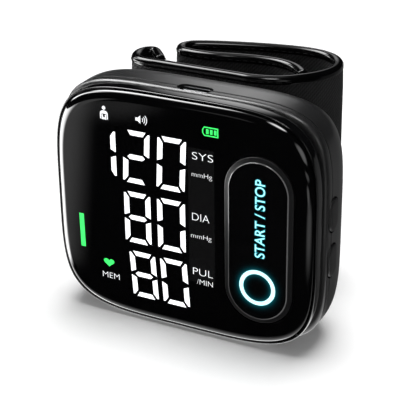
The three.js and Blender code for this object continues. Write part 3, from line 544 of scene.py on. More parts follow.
def moulding_group():
    """Fine grain and broad unevenness of a moulded or polished surface."""
    numbers = {"Grain": 2500.0, "Least": 0.3, "Most": 0.4}
    tree, given = shader_group("moulding", numbers, ("Height", "Roughness", "Shade"))
    grain, broad = noise(given["Vector"], given["Grain"], 3.0), noise(given["Vector"], 90.0, 4.0)
    rough = ranged(grain * 0.4 + broad * 0.6, 0.3, 0.7, given["Least"], given["Most"])
    add(tree, "NodeGroupOutput", {"Height": grain, "Roughness": rough, "Shade": broad})
    return tree


def weave_group():
    """A twill on cloth coordinates in metres: diagonal ribs of crossing yarns. Its Shade, which colours the
    cloth, is the yarns' height with random fuzz and cloudiness, so the raised ribs are painted lighter and
    the grooves darker: partly painted shade of the weave's relief.
    """
    tree, given = shader_group("weave", {"Pitch": 0.001}, ("Height", "Shade"))
    along, up = (part / given["Pitch"] for part in axes(given["Vector"])[:2])
    fuzz, cloudy = noise(given["Vector"], 4200.0, 3.0), noise(given["Vector"], 160.0, 4.0)
    height = (along + up).zigzag(0.5) + (along * 2.0).zigzag(0.5) * 0.5 + fuzz * 0.7
    # Colour follows height: painted shade in the weave's grooves, plus random cloudiness
    add(tree, "NodeGroupOutput", {"Height": height, "Shade": height + cloudy * 0.3})
    return tree


MOULDING = moulding_group()
WEAVE = weave_group()
LOOKS = {}


def blank_material(name):
    """The empty tree of a new material, which is kept by its name."""
    made = LOOKS[name] = bpy.data.materials.new(name)
    made.use_nodes = True
    made.node_tree.nodes.clear()
    return made.node_tree


def surface(tree, shader):
    add(tree, "ShaderNodeOutputMaterial", {"Surface": shader.outputs[0]})
    return shader


def plastic(tree, inputs):
    return surface(tree, add(tree, "ShaderNodeBsdfPrincipled", inputs))


def raised(height, strength, depth):
    bump = {"Height": height, "Strength": strength, "Distance": depth}
    return add(height.id_data, "ShaderNodeBump", bump).outputs["Normal"]


def moulded(name, dark, light, least, most, grain=2500.0, bump=0.02, **sockets):
    """A moulded, polished or drawn surface; dark and light are the ends of its colour."""
    tree = blank_material(name)
    inputs = {"Vector": here(tree), "Grain": grain, "Least": least, "Most": most}
    effect = add(tree, "ShaderNodeGroup", inputs, node_tree=MOULDING).outputs
    return plastic(tree, {
        "Base Color": mixed(effect["Shade"], dark, light), "Roughness": effect["Roughness"],
        "Normal": raised(effect["Height"], bump, 0.0001), **sockets,
    })


def cloth(name, dark, light, pitch, bump, rough, specular, sheen=0.0):
    """Woven fabric that reads the cloth's own coordinates; rough is its range of roughness."""
    tree = blank_material(name)
    where = add(tree, "ShaderNodeUVMap", uv_map="cloth").outputs["UV"]
    effect = add(tree, "ShaderNodeGroup", {"Vector": where, "Pitch": pitch}, node_tree=WEAVE).outputs
    return plastic(tree, {
        # Colour runs from dark in the weave's grooves to light on its raised ribs: partly painted shade,
        # partly random tone
        "Base Color": mixed(ranged(effect["Shade"], 0.45, 1.3), dark, light),
        "Roughness": ranged(effect["Shade"], 0.0, 1.0, rough[1], rough[0]),
        "Normal": raised(effect["Height"], bump, 0.0002),
        "Specular IOR Level": specular, "Sheen Weight": sheen, "Sheen Roughness": 0.4,
    })


def lit(name, core, edge, strength):
    """A lamp seen through the window, a little uneven over its area."""
    tree = blank_material(name)
    colour = mixed(noise(here(tree), 350.0), core, edge)
    glow = {"Emission Color": colour, "Emission Strength": strength}
    return plastic(tree, {"Base Color": colour, "Roughness": 0.1, **glow})


def button_gloss():
    """The start button's gloss, with a satin bevel, a light grey line painted along the bevel's crest as a
    painted highlight, and the ring's light spreading round it in the plastic.
    """
    shader = moulded("button_gloss", (0.0016, 0.0016, 0.0018), (0.003, 0.003, 0.0033), 0.05, 0.09, bump=0.0)
    base, rough = (shader.inputs[name].links[0].from_socket for name in ("Base Color", "Roughness"))
    polish = shader.inputs["Specular IOR Level"].default_value
    x, _, z = axes(here(shader.id_data))
    across = x - (HOUSE_X + START_AT[0])
    off_ring = abs(distance(across, z - (HOUSE_Z + RING_Z)) - RING_RADIUS)
    tall = (abs(z - (HOUSE_Z + START_AT[1])) - (START_HEIGHT - START_WIDTH) / 2).larger(0.0)
    inward = START_WIDTH / 2 - distance(across, tall)
    bevel = smooth(inward, START_BEVEL, START_BEVEL - BEVEL_EASE)
    # Painted highlight: a thin light grey line along the bevel's inner crest
    crest_highlight = smooth(abs(inward - START_BEVEL), CREST_HIGHLIGHT_REACH, 0.0)
    wired = {
        "Emission Color": mixed((off_ring * (-1.0 / GLOW_REACH)).exponent(), (0, 0, 0), GLOW_COLOUR),
        "Base Color": mixed(crest_highlight, mixed(bevel, base, BEVEL_GREY), CREST_HIGHLIGHT_GREY),
        "Roughness": Amount(rough).larger(bevel * BEVEL_ROUGH).socket,
        "Specular IOR Level": (bevel * (BEVEL_SPECULAR - polish) + polish).socket,
    }
    for name, value in wired.items():
        shader.id_data.links.new(value, shader.inputs[name])
    shader.inputs["Emission Strength"].default_value = 1.0


button_gloss()
moulded("window_gloss", (0.0012, 0.0012, 0.0014), (0.0022, 0.0022, 0.0024), 0.03, 0.06, bump=0.0)
moulded("bezel_gloss", (0.0016, 0.0016, 0.0018), (0.0035, 0.0035, 0.0038), 0.07, 0.12, bump=0.003)
moulded("satin_black", (0.01, 0.01, 0.0105), (0.014, 0.014, 0.0145), 0.28, 0.36, 5200.0, 0.05)
moulded("key_satin", (0.006, 0.006, 0.0064), (0.009, 0.009, 0.0094), 0.44, 0.54, 5200.0, 0.05)
moulded("strip_gloss", (0.007, 0.007, 0.0072), (0.009, 0.009, 0.0092), 0.05, 0.08, bump=0.0)
moulded("steel", (0.42, 0.43, 0.44), (0.6, 0.61, 0.62), 0.24, 0.36, 1800.0, 0.04, Metallic=1.0)
# Steel of the socket's sleeve, darkened almost to black: painted shade inside the slot
moulded("socket_steel_painted_shade", (0.02, 0.02, 0.021), (0.035, 0.035, 0.036), 0.3, 0.4, 1800.0, 0.04, Metallic=1.0)
moulded("contact_black", (0.01, 0.01, 0.01), (0.02, 0.02, 0.02), 0.4, 0.5)
moulded("board_green", (0.01, 0.06, 0.025), (0.02, 0.1, 0.045), 0.35, 0.5, 900.0, 0.1)
moulded("white_moulding", (0.66, 0.65, 0.62), (0.78, 0.77, 0.74), 0.4, 0.5, 1500.0, 0.05)
moulded("diffuser", (0.6, 0.6, 0.58), (0.75, 0.75, 0.73), 0.5, 0.6, 1500.0, 0.05)
moulded("rubber_black", (0.012, 0.012, 0.012), (0.02, 0.02, 0.02), 0.65, 0.8, 1800.0, 0.2)
moulded("silicone", (0.5, 0.5, 0.47), (0.6, 0.6, 0.57), 0.4, 0.5, 1200.0, 0.06)
moulded("cell_foil", (0.3, 0.32, 0.34), (0.45, 0.47, 0.49), 0.3, 0.42, 600.0, 0.2, Metallic=0.6)
moulded("thread_black", (0.003, 0.003, 0.0032), (0.006, 0.006, 0.0062), 0.75, 0.9, 3000.0, 0.2,
        **{"Specular IOR Level": 0.1})
cloth("cuff_cloth", (0.0006, 0.0006, 0.0007), (0.028, 0.028, 0.0285), 1.1 * MM, 0.6, (0.7, 0.95), 0.12, 0.01)
cloth("cuff_edge", (0.0008, 0.0008, 0.0009), (0.002, 0.002, 0.0022), 0.45 * MM, 0.0, (0.13, 0.17), 0.24)
cloth("hook_cloth", (0.002, 0.002, 0.0022), (0.014, 0.014, 0.0145), 0.8 * MM, 0.9, (0.7, 0.9), 0.25)
lit("digit_light", (1.0, 1.0, 1.0), (0.92, 0.94, 0.98), 1.0)
lit("legend_light", (0.78, 0.79, 0.8), (0.66, 0.67, 0.69), 0.85)
lit("green_light", (0.06, 0.86, 0.17), (0.03, 0.72, 0.1), 0.95)
lit("ring_light", (0.62, 1.0, 1.0), (0.5, 0.95, 0.98), 1.0)
lit("halo_light", (0.0, 0.16, 0.2), (0.0, 0.1, 0.13), 1.0)
lit("word_light", (0.45, 0.95, 1.0), (0.25, 0.8, 0.9), 1.0)


# Housing pieces

def rolled_edge(start):
    """The window's edge: a long gentle roll that ends in a tight round."""
    steep, level = sin(PANE_TURN), cos(PANE_TURN)
    radius = (PANE_ROLL - PANE_EDGE * (1 - steep)) / steep
    profile = [(start - radius * sin(t), radius * (1 - cos(t))) for t in sweep(16, PANE_TURN)]
    inset, depth = profile[-1]
    tight = [PANE_TURN + t for t in sweep(8, pi / 2 - PANE_TURN)[1:]]
    return profile + [
        (inset - PANE_EDGE * (sin(t) - steep), depth + PANE_EDGE * (level - cos(t))) for t in tight
    ]


def make_pane():
    """Window with a rolled edge, and the opening for the start button."""
    opening = [(0.0, PANE_THICKNESS)] + eased(0.0, 1) + [(2 * SMALL_ROUND, 0.0)]
    rings = start_rings([(-FIT - grow, depth) for grow, depth in opening])
    start = PANE_INSET + PANE_ROLL
    profile = [(start + flat, 0.0) for flat in PANE_FLATS] + rolled_edge(start)
    profile += [(PANE_INSET, PANE_THICKNESS - SMALL_ROUND), (PANE_INSET, PANE_THICKNESS)]
    return loft("window_pane", rings + around(BODY_HALF, profile, START_AT), "window_gloss", loop=True)


def make_bezel():
    """Glossy frame round the window: a thin lip, a full flank and a drawn-in rear edge."""
    profile = [(inset * MM, depth * MM) for inset, depth in spline(np.array(BEZEL_PROFILE), 5)]
    rear, ledge = BEZEL_PROFILE[-1][1] * MM, PANE_THICKNESS + PANE_TAPE
    profile += [(BEZEL_LEDGE, rear), (BEZEL_LEDGE, ledge), (profile[0][0], ledge)]
    return loft("bezel_frame", around(BODY_HALF, profile), "bezel_gloss", loop=True)


def mouths():
    """Cutters for the socket's slot in the top and the keys' slots in the right side."""
    slot = [(-FIT, SHELL_HALF[1] - 4 * WALL), (-FIT, SHELL_HALF[1] + WALL)]
    rings = [socket_rings(SOCKET_WIDTH, SOCKET_HEIGHT, slot, 64)]
    slot = [(-KEY_GAP, KEY_ROOT - WALL), (-KEY_GAP, SHELL_HALF[0] + WALL)]
    rings += [key_rings(name, slot, 96) for name in KEY_HEIGHTS]
    return [loft("mouth", mouth, "satin_black") for mouth in rings]


def make_front_shell():
    """Satin band behind the bezel, with a rounded shoulder and an eased parting edge."""
    rear, back = PARTING - PARTING_GAP / 2, CASE_FRONT + WALL
    profile = [(CASE_SHOULDER + CASE_FLAT, CASE_FRONT)]
    profile += [(CASE_SHOULDER - CASE_SHOULDER * sin(t), CASE_FRONT + CASE_SHOULDER * (1 - cos(t)))
                for t in sweep(8)]
    profile += [(0.0, rear - CASE_HEM)] + eased(rear, -1)
    profile += [(WALL, rear), (WALL, back), (CASE_LEDGE, back), (CASE_LEDGE, CASE_FRONT)]
    return carve(loft("front_shell", around_shell(profile), "satin_black", loop=True), mouths())


def dome(inset, back, steps):
    """The turn from the flank to the back, as insets and depths."""
    return [(inset + DOME_INSET * (1 - cos(t)), FLANK_END + (back - FLANK_END) * sin(t))
            for t in sweep(steps)]


def make_rear_shell():
    """Deep satin cup: straight flank, rounded back, screw wells and a speaker grille."""
    front = PARTING + PARTING_GAP / 2
    profile = [(WALL, front)] + eased(front, 1)[::-1]
    profile += [(0.0, front + CUP_HEM), (0.0, (front + FLANK_END) / 2)]
    profile += dome(0.0, REAR_OUTER, 20) + [(DOME_INSET + CUP_FLAT, REAR_OUTER), (FLOOR_INSET, REAR_OUTER)]
    profile += [(FLOOR_INSET, REAR_INNER), (DOME_INSET + WALL, REAR_INNER)] + dome(WALL, REAR_INNER, 5)[::-1]
    cup = loft("rear_cup", around_shell(profile), "satin_black", loop=True)
    floor = around_shell([(FLOOR_INSET, depth) for depth in (REAR_INNER, REAR_OUTER)])
    combine(cup, [loft("rear_floor", floor, "satin_black")], "UNION")
    wells = [[facing_front(circle(WELL_RADIUS, 40, spot), depth) for depth in (WELL_FLOOR, REAR_OUTER + WALL)]
             for spot in SCREW_PLACES]
    return carve(cup, mouths() + [loft("well", well, "satin_black") for well in wells] + [grille_cutter()])


def make_start_pill():
    """Bevelled pill, with a groove for the light ring."""
    ease, foot = START_EASE, START_PROUD - START_STEP
    slope = foot / START_BEVEL
    steps = [(START_BEVEL + 4 * ease, -START_PROUD), (START_BEVEL + 2 * START_STEP, -START_PROUD)]
    steps += [
        (START_BEVEL + START_STEP * (1 - sin(t)), START_STEP * (1 - cos(t)) - START_PROUD)
        for t in np.linspace(0, 0.45 * pi, 8)
    ]
    steps += [
        (START_BEVEL - ease, ease * slope - foot), (2 * ease, -2 * ease * slope), (ease, -ease * slope),
        (0.25 * ease, 0.2 * ease), (0.0, ease), (0.0, 3 * ease), (0.0, START_BACK),
    ]
    cap = loft("start_pill", start_rings(steps), "button_gloss", sharp=60)
    inner, outer = RING_RADIUS - RING_HALF - RING_PLAY, RING_RADIUS + RING_HALF + RING_PLAY
    groove = bar(inner, outer, -START_PROUD - FIT, RING_DEPTH - START_PROUD)
    return carve(cap, [turned_ring("groove", groove, "button_gloss")], sharp=60)


def turned_ring(name, profile, material):
    """A profile of radius and depth turned about the light ring's axis."""
    rings = [facing_front(circle(radius, 128, (START_AT[0], RING_Z)), depth) for radius, depth in profile]
    return loft(name, rings, material, loop=True)


def make_light_ring():
    profile = [(RING_RADIUS + RING_HALF * cos(t), -START_PROUD - RING_CROWN * sin(t))
               for t in sweep(10, pi)]
    low = RING_DEPTH - START_PROUD - RING_LIFT
    profile += [(RING_RADIUS - RING_HALF, low), (RING_RADIUS + RING_HALF, low)]
    return turned_ring("light_ring", profile, "ring_light")


def make_key(name):
    """A softly crowned key on the right side."""
    face = SHELL_HALF[0] + KEY_PROUD
    steps = [(inset * MM, face - sink * MM) for inset, sink in KEY_CROWN] + [(0.0, KEY_ROOT)]
    return loft(f"{name}_cap", key_rings(name, steps, 128), "key_satin", sharp=50)


def make_socket_sleeve():
    """Metal sleeve of the charging socket, open at the top."""
    brim = SOCKET_TOP - SOCKET_EASE
    steps = [
        (0.0, SOCKET_TOP - SOCKET_LENGTH), (0.0, brim), (SOCKET_EASE, SOCKET_TOP),
        (SOCKET_SKIN - SOCKET_EASE, SOCKET_TOP), (SOCKET_SKIN, brim), (SOCKET_SKIN, SOCKET_TOP - SOCKET_HOLE),
    ]
    rings = socket_rings(SOCKET_WIDTH, SOCKET_HEIGHT, steps, 96)
    # Its steel is painted dark, painted shade of the slot's inside
    return loft("socket_sleeve", rings, "socket_steel_painted_shade", sharp=40)


def make_socket_tongue():
    """Contact tongue that stands in the charging socket, just below its mouth."""
    high = SOCKET_TOP - TONGUE_SINK
    steps = [(0.0, SOCKET_TOP - SOCKET_HOLE), (0.0, high - SOCKET_EASE),
             (0.3 * SOCKET_EASE, high - 0.3 * SOCKET_EASE), (SOCKET_EASE, high)]
    return loft("contact_tongue", socket_rings(TONGUE_WIDTH, TONGUE_HEIGHT, steps, 64), "steel")


# Geometry node trees for what repeats

def scatter(name, points, turns, source, material):
    """One copy of a small mesh on each point, turned by its own angles, as one plain mesh."""
    tree = bpy.data.node_groups.new(name, "GeometryNodeTree")
    opening(tree, "Geometry", "Geometry")
    copies, size = opening(tree, "Copy", "Object"), opening(tree, "Size", "Float")
    opening(tree, "Geometry", "Geometry", "OUTPUT")
    given = add(tree, "NodeGroupInput").outputs
    copy = add(tree, "GeometryNodeObjectInfo", {"Object": given["Copy"]})
    turn = add(tree, "GeometryNodeInputNamedAttribute", {"Name": "turn"}, data_type="FLOAT_VECTOR")
    placed = add(tree, "GeometryNodeInstanceOnPoints", {
        "Points": given["Geometry"], "Instance": copy.outputs["Geometry"],
        "Rotation": turn.outputs["Attribute"], "Scale": given["Size"],
    })
    solid = add(tree, "GeometryNodeRealizeInstances", {"Geometry": placed.outputs["Instances"]})
    painted = add(tree, "GeometryNodeSetMaterial", {
        "Geometry": solid.outputs["Geometry"], "Material": LOOKS[material],
    })
    add(tree, "NodeGroupOutput", {"Geometry": painted.outputs["Geometry"]})
    made = mesh_piece(name, points, [], material)
    made.data.attributes.new("turn", "FLOAT_VECTOR", "POINT").data.foreach_set("vector", np.ravel(turns))
    step = made.modifiers.new("copies", "NODES")
    step.node_group = tree
    step[copies.identifier] = source
    step[size.identifier] = 1.0
    bake_modifiers(made)
    bpy.data.objects.remove(source)
    return settle(made, 40)


def grille_cutter():
    """The speaker's holes: one in the middle and a circle round it."""
    rings = [at_depth(circle(GRILLE_HOLE, 20), depth) for depth in (REAR_INNER - WALL, REAR_OUTER + WALL)]
    spots = np.vstack((GRILLE_AT, circle(GRILLE_RADIUS, GRILLE_COUNT, GRILLE_AT)))
    hole = loft("grille_hole", rings, "satin_black")
    return scatter("grille", facing_front(spots, 0.0), np.zeros((len(spots), 3)), hole, "satin_black")


def make_screws():
    """Pan-head screws with a cross recess, down in their wells."""
    under = WELL_FLOOR + SCREW_PLAY
    rings = [at_depth(circle(SCREW_HEAD * r, 48), under + SCREW_RISE * h) for r, h in SCREW_PROFILE]
    head = loft("screw_head", rings, "steel")
    arms = [np.array(bar(-wide, wide, -tall, tall))
            for wide, tall in ((CROSS_REACH, CROSS_HALF), (CROSS_HALF, CROSS_REACH))]
    depths = (under + SCREW_RISE * 0.5, under + SCREW_RISE * 2)
    carve(head, [loft("screw_arm", [at_depth(arm, depth) for depth in depths], "steel") for arm in arms])
    turns = [(0.0, turn, 0.0) for turn in SCREW_TURNS]
    return scatter("case_screw_heads", facing_front(np.array(SCREW_PLACES), 0.0), turns, head, "steel")


# Cuff

def spline(points, steps):
    """A centripetal curve through points, with equally many steps between them."""
    ends = np.vstack((2 * points[0] - points[1], points, 2 * points[-1] - points[-2]))
    knots = np.maximum(np.linalg.norm(np.diff(ends, axis=0), axis=1) ** 0.5, 1e-6)
    curve = []
    for k in range(1, len(ends) - 2):
        p0, p1, p2, p3 = ends[k - 1:k + 3]
        d0, d1, d2 = knots[k - 1:k + 2]
        leave = ((p1 - p0) / d0 - (p2 - p0) / (d0 + d1) + (p2 - p1) / d1) * d1
        reach = ((p2 - p1) / d1 - (p3 - p1) / (d1 + d2) + (p3 - p2) / d2) * d1
        for t in np.arange(steps) / steps:
            curve.append(
                (2 * t**3 - 3 * t**2 + 1) * p1 + (t**3 - 2 * t**2 + t) * leave
                + (3 * t**2 - 2 * t**3) * p2 + (t**3 - t**2) * reach
            )
    return np.array(curve + [points[-1]])


def lengths_along(points):
    """How far along a line each of its points is."""
    return np.concatenate(([0.0], np.cumsum(np.linalg.norm(np.diff(points, axis=0), axis=1))))


def cuff_line():
    """Points, sideways directions and lengths along the cuff's middle line, evenly spaced."""
    rough = spline(np.array(CUFF_ROUTE, float) * MM, 40)
    length = lengths_along(rough)
    even = np.linspace(0.0, length[-1], int(length[-1] / CUFF_STEP) + 1)
    points = np.column_stack([np.interp(even, length, rough[:, k]) for k in (0, 1)])
    along = np.gradient(points, axis=0)
    along /= np.linalg.norm(along, axis=1)[:, None]
    return points, np.column_stack((-along[:, 1], along[:, 0])), even


CUFF_POINTS, CUFF_SIDES, CUFF_LENGTHS = cuff_line()
CUFF_FOLD = int(np.argmax(CUFF_POINTS[:, 0]))


def cuff_half(height):
    """Half the cuff's thickness at a height: fullest in the middle, drawn in at its bound edges."""
    inside = np.clip(np.minimum(height, CUFF_WIDTH - height) / CUFF_CROWN, 0, 1)
    return CUFF_EDGE_HALF + (CUFF_HALF - CUFF_EDGE_HALF) * np.sin(inside * pi / 2)


def cuff_section():
    """The cuff's section: offset and height of each point, and True on the binding."""
    edge = [(BOUND_HALF * sin(t), BOUND_HALF * (1 - cos(t)), True) for t in sweep(6)]
    reach = BOUND_HALF + BINDING_REACH
    edge += [(BOUND_HALF + offset * MM, reach + back * MM, True) for offset, back in BINDING_END]
    edge.append((cuff_half(reach) - BINDING_TUCK, reach, False))
    heights = np.linspace(reach + BINDING_CLEAR, CUFF_WIDTH / 2, 14)
    lower = edge + [(float(cuff_half(height)), height, False) for height in heights]
    side = lower + [(offset, CUFF_WIDTH - height, bind) for offset, height, bind in reversed(lower[:-1])]
    return side + [(-offset, height, bind) for offset, height, bind in reversed(side[1:-1])]


def cuff_ripple(length, height):
    """Slight unevenness of the fabric, nothing at the bound edges."""
    calm = np.sin(np.clip(height / CUFF_WIDTH, 0, 1) * pi)
    wave = sum(size * np.sin(length * along + height * up) for size, along, up in CUFF_WAVES)
    return CUFF_RIPPLE * calm * wave


def line_at(length):
    """Point and sideways direction of the cuff's middle line at a length along it."""
    point, side = (np.array([np.interp(length, CUFF_LENGTHS, values[:, k]) for k in (0, 1)])
                   for values in (CUFF_POINTS, CUFF_SIDES))
    return point, side / np.linalg.norm(side)


def stations(first, last, free):
    """Lengths along the cuff, closer together at a free end, and how full the section is at each."""
    near = END_ROUND * (1 - np.cos(np.linspace(0.12, 1, 6) * pi / 2))
    full = np.sqrt(1 - (1 - near / END_ROUND) ** 2)
    inner = [x for x in CUFF_LENGTHS if first + END_ROUND * free[0] < x < last - END_ROUND * free[1]]
    begin = (first + near, full) if free[0] else ([first], [1.0])
    end = (last - near[::-1], full[::-1]) if free[1] else ([last], [1.0])
    return [np.concatenate(parts) for parts in zip(begin, (inner, np.ones(len(inner))), end)]


def follow(name, first, last, free, section, materials, ripple=1.0):
    """A closed section of offset, height and binding carried along the cuff, from one length to another."""
    offsets, heights = (np.array([point[k] for point in section]) for k in (0, 1))
    middle = (offsets.min() + offsets.max()) / 2
    lengths, fullness = stations(first, last, free)
    rings = []
    for length, full in zip(lengths, fullness):
        point, side = line_at(length)
        uneven = ripple * np.sign(offsets - middle) * cuff_ripple(length, heights)
        shift = middle + (offsets - middle + uneven) * full
        flat = point[None, :] + shift[:, None] * side[None, :]
        rings.append(place(np.column_stack((flat[:, 0], CUFF_MIDDLE + flat[:, 1], heights - HOUSE_Z))))
    made = loft(name, rings, materials[0], sharp=70)
    for material in materials[1:]:
        made.data.materials.append(LOOKS[material])
    paint(made, lengths, section, (
        first + BINDING_REACH if free[0] else -1.0, last - BINDING_REACH if free[1] else last + 1.0,
    ))
    return made


def paint(piece, lengths, section, bound_ends):
    """Cloth coordinates in metres, and the binding's material on its faces."""
    layer = piece.data.uv_layers.new(name="cloth")
    count = len(section)
    walk = lengths_along(np.array([(offset, height) for offset, height, _ in section + section[:1]]))
    for face in piece.data.polygons:
        spots = [piece.data.loops[i].vertex_index for i in face.loop_indices]
        columns = [v % count for v in spots]
        along = [lengths[v // count] for v in spots]
        wraps = len(spots) == 4 and max(columns) - min(columns) > count / 2
        at_end = max(along) < bound_ends[0] or min(along) > bound_ends[1]
        if len(piece.data.materials) > 1:
            face.material_index = int(at_end or all(section[c][2] for c in columns))
        for i, c, x in zip(face.loop_indices, columns, along):
            layer.data[i].uv = (x, walk[count] if wraps and c == 0 else walk[c])


def make_cuff(name, first, last, free=(False, False)):
    """A stretch of the cuff between two lengths, with the binding as a second material."""
    return follow(name, first, last, free, cuff_section(), ["cuff_cloth", "cuff_edge"])


def make_hook_pad():
    """Hook tape sewn on the strap: a thin pad, crowned, with soft edges all round."""
    outer, soft, middle = CUFF_HALF + PATCH_RISE, PATCH_SOFT, CUFF_WIDTH / 2
    low = [(-(CUFF_HALF + PATCH_GAP), PATCH_HEM)] + [
        (-(outer - PATCH_CROWN) + soft * (1 - sin(t)), PATCH_HEM + soft * (1 - cos(t)))
        for t in sweep(4)
    ]
    crown = [(-(outer - PATCH_CROWN * sin(u) ** 2), middle + (middle - PATCH_HEM - soft) * sin(u))
             for u in np.linspace(-1.3, 1.3, 11)]
    high = [(offset, CUFF_WIDTH - height) for offset, height in reversed(low)]
    section = [(offset, height, False) for offset, height in low + crown + high]
    end = CUFF_LENGTHS[-1] - PATCH_END
    return follow("hook_pad", end - PATCH_LENGTH, end, (True, True), section, ["hook_cloth"], 0.0)


def make_stitches(name, first, last):
    """A row of stitches below the binding on both edges and both faces of a stretch."""
    rings = [np.column_stack((np.full(6, STITCH_LENGTH * along), circle(STITCH_THICKNESS * size, 6)))
             for along, size in ((-0.5, 0.3), (-0.4, 0.9), (0.4, 0.9), (0.5, 0.3))]
    inset = BOUND_HALF + BINDING_REACH - STITCH_INSET
    spots, turns = [], []
    for k in range(first + 1, last, STITCH_EVERY):
        side = CUFF_SIDES[k]
        for sign in (1, -1):
            x, y = CUFF_POINTS[k] + sign * BOUND_HALF * side
            spots += [(x, CUFF_MIDDLE + y, height - HOUSE_Z) for height in (inset, CUFF_WIDTH - inset)]
            turns += [(0.0, 0.0, atan2(-side[0], side[1]))] * 2
    return scatter(name, place(spots), turns, loft(f"{name}_one", rings, "thread_black"), "thread_black")


# Display marks

def plate(name, outlines, material, proud=MARK_PROUD):
    """Flat marks on the window, each an outline of x and height in millimetres."""
    vertices, faces = [], []
    for outline in outlines:
        start, count = len(vertices), len(outline)
        for depth in (-proud, MARK_SINK):
            vertices += list(facing_front(np.array(outline) * MM, depth))
        faces += band(start, start + count, count)
        faces += [tuple(range(start, start + count)), tuple(range(start + count, start + 2 * count))]
    return settle(mesh_piece(name, vertices, faces, material), 20)


def strokes(left, right, low, high, slant):
    """Outlines of a digit's seven strokes by letter, mitred at their ends and leaning with their row."""
    t, f, g = DIGIT_STROKE, DIGIT_FLAT_STROKE, DIGIT_GAP
    x, z, wide, tall = (left + right) / 2, (low + high) / 2, (right - left) / 2, (high - low) / 2
    flat = [(f / 2 + g - wide, tall), (wide - f / 2 - g, tall), (wide - t - g, tall - f),
            (t + g - wide, tall - f)]
    upright = [(wide, tall - g), (wide, g), (wide - t, f / 2 + g), (wide - t, tall - f - g),
               (wide - t / 3, tall - g)]
    middle = [(t / 2 + g - wide, 0), (t + g - wide, f / 2), (wide - t - g, f / 2), (wide - t / 2 - g, 0),
              (wide - t - g, -f / 2), (t + g - wide, -f / 2)]
    mirrored = {"a": (flat, 1, 1), "b": (upright, 1, 1), "c": (upright, 1, -1), "d": (flat, 1, -1),
                "e": (upright, -1, -1), "f": (upright, -1, 1), "g": (middle, 1, 1)}
    return {letter: [(x + side * u + slant * end * v, z + end * v) for u, v in outline]
            for letter, (outline, side, end) in mirrored.items()}


def make_digits():
    return plate("lit_digits", [
        strokes(left, right, low, high, slant)[letter]
        for low, high, slant, digits in DIGIT_ROWS
        for digit, left, right in digits
        for letter in LIT_STROKES[digit]
    ], "digit_light")


def make_word(name, text, material, box, weight=0.0, upright=False, proud=MARK_PROUD):
    """Plain lettering that fills a box of left, right, low and high; upright, it reads from the bottom up."""
    drawing = bpy.data.curves.new(name, "FONT")
    drawing.body, drawing.extrude, drawing.offset = text, 0.02, weight
    source = link(name, drawing)
    mesh = plain_mesh(source)
    bpy.data.objects.remove(source)
    points = np.array([v.co for v in mesh.vertices])
    flat = points[:, :2] - points[:, :2].min(axis=0)
    flat /= flat.max(axis=0)
    if upright:
        flat = np.column_stack((1 - flat[:, 1], flat[:, 0]))
    left, right, low, high = (side * MM for side in box)
    depth = np.where(points[:, 2] > 0, -proud, WORD_SINK)
    x, z = left + (right - left) * flat[:, 0], low + (high - low) * flat[:, 1]
    moved = place(np.column_stack((x, depth, z)))
    mesh.vertices.foreach_set("co", np.ravel(moved))
    mesh.materials.clear()
    mesh.materials.append(LOOKS[material])
    return settle(link(name, mesh), 20)


def make_legends():
    """The words beside the readings, as one mesh."""
    words = [make_word(f"legend_{k}", text, "legend_light", box, LEGEND_WEIGHT)
             for k, (text, *box) in enumerate(LEGENDS)]
    edit = bmesh.new()
    for word in words:
        edit.from_mesh(word.data)
        bpy.data.objects.remove(word)
    return settle(drawn_piece("display_legends", edit, "legend_light"), 20)


def disc(x, z, across, up, start=0.0, stop=2 * pi, count=24):
    return [(x + across * cos(t), z + up * sin(t)) for t in np.linspace(start, stop, count)]


def both_sides(x, z, half):
    """An outline about x from one half of it, as offsets from a point."""
    return [(x + u, z + v) for u, v in half] + [(x - u, z + v) for u, v in reversed(half)]


def bow(x, z, radius, stroke, spread):
    """A curved stroke that opens to the left."""
    outer = disc(x, z, radius, radius, -spread, spread, 10)
    return outer + disc(x, z, radius - stroke, radius - stroke, spread, -spread, 10)


def make_white_icons():
    """A person and a loudspeaker."""
    x, z = PERSON_AT
    head = disc(x, z + 1.25, 0.5, 0.52)[:-1]
    body = disc(x, z - 0.2, 1.12, 0.78, 0.0, pi, 12)
    body += both_sides(x, z, [(-1.12, -1.7), (-0.86, -1.7), (-0.8, -0.4), (-0.3, -0.3)])
    badge = both_sides(x, z, [(0.68, -1.8), (0.68, -0.52), (0.28, -0.52), (0.28, -1.25)])
    x, z = HORN_AT
    horn = [(x + u, z + v) for u, v in HORN]
    waves = [bow(x + 0.65, z, radius, 0.2, 0.75) for radius in (0.75, 1.3, 1.85)]
    return plate("white_icons", [head, body, badge, horn] + waves, "legend_light")


def make_green_icons():
    """A battery with three bars, a heart and a level bar."""
    left, right, low, high = BATTERY_BOX
    middle, nose, line = (low + high) / 2, left + 0.55, 0.3
    shoulder, inner = middle + 0.4, left + line
    upper = [
        bar(nose, right, high - line, high),
        [(nose, high), (nose, high - line), (inner, shoulder), (left, shoulder)],
    ]
    lower = [[(x, 2 * middle - z) for x, z in outline] for outline in upper]
    ends = [bar(right - line, right, low + line, high - line),
            bar(left, inner, 2 * middle - shoulder, shoulder)]
    cells = [bar(left + x, left + x + 0.66, low + 0.6, high - 0.6) for x in (1.05, 2.1, 3.15)]
    x, z = HEART_AT
    heart = [
        (x + 0.098 * 16 * sin(t) ** 3,
         z + 0.08 * (13 * cos(t) - 5 * cos(2 * t) - 2 * cos(3 * t) - cos(4 * t)))
        for t in np.linspace(0, 2 * pi, 40)[:-1]
    ]
    return plate("green_icons", upper + lower + ends + cells + [heart, LEVEL_BAR], "green_light")


# Build, and tie each piece to its body

def dress(piece, body, slot, *nodes):
    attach(piece, body)
    if nodes:
        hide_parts(*nodes)


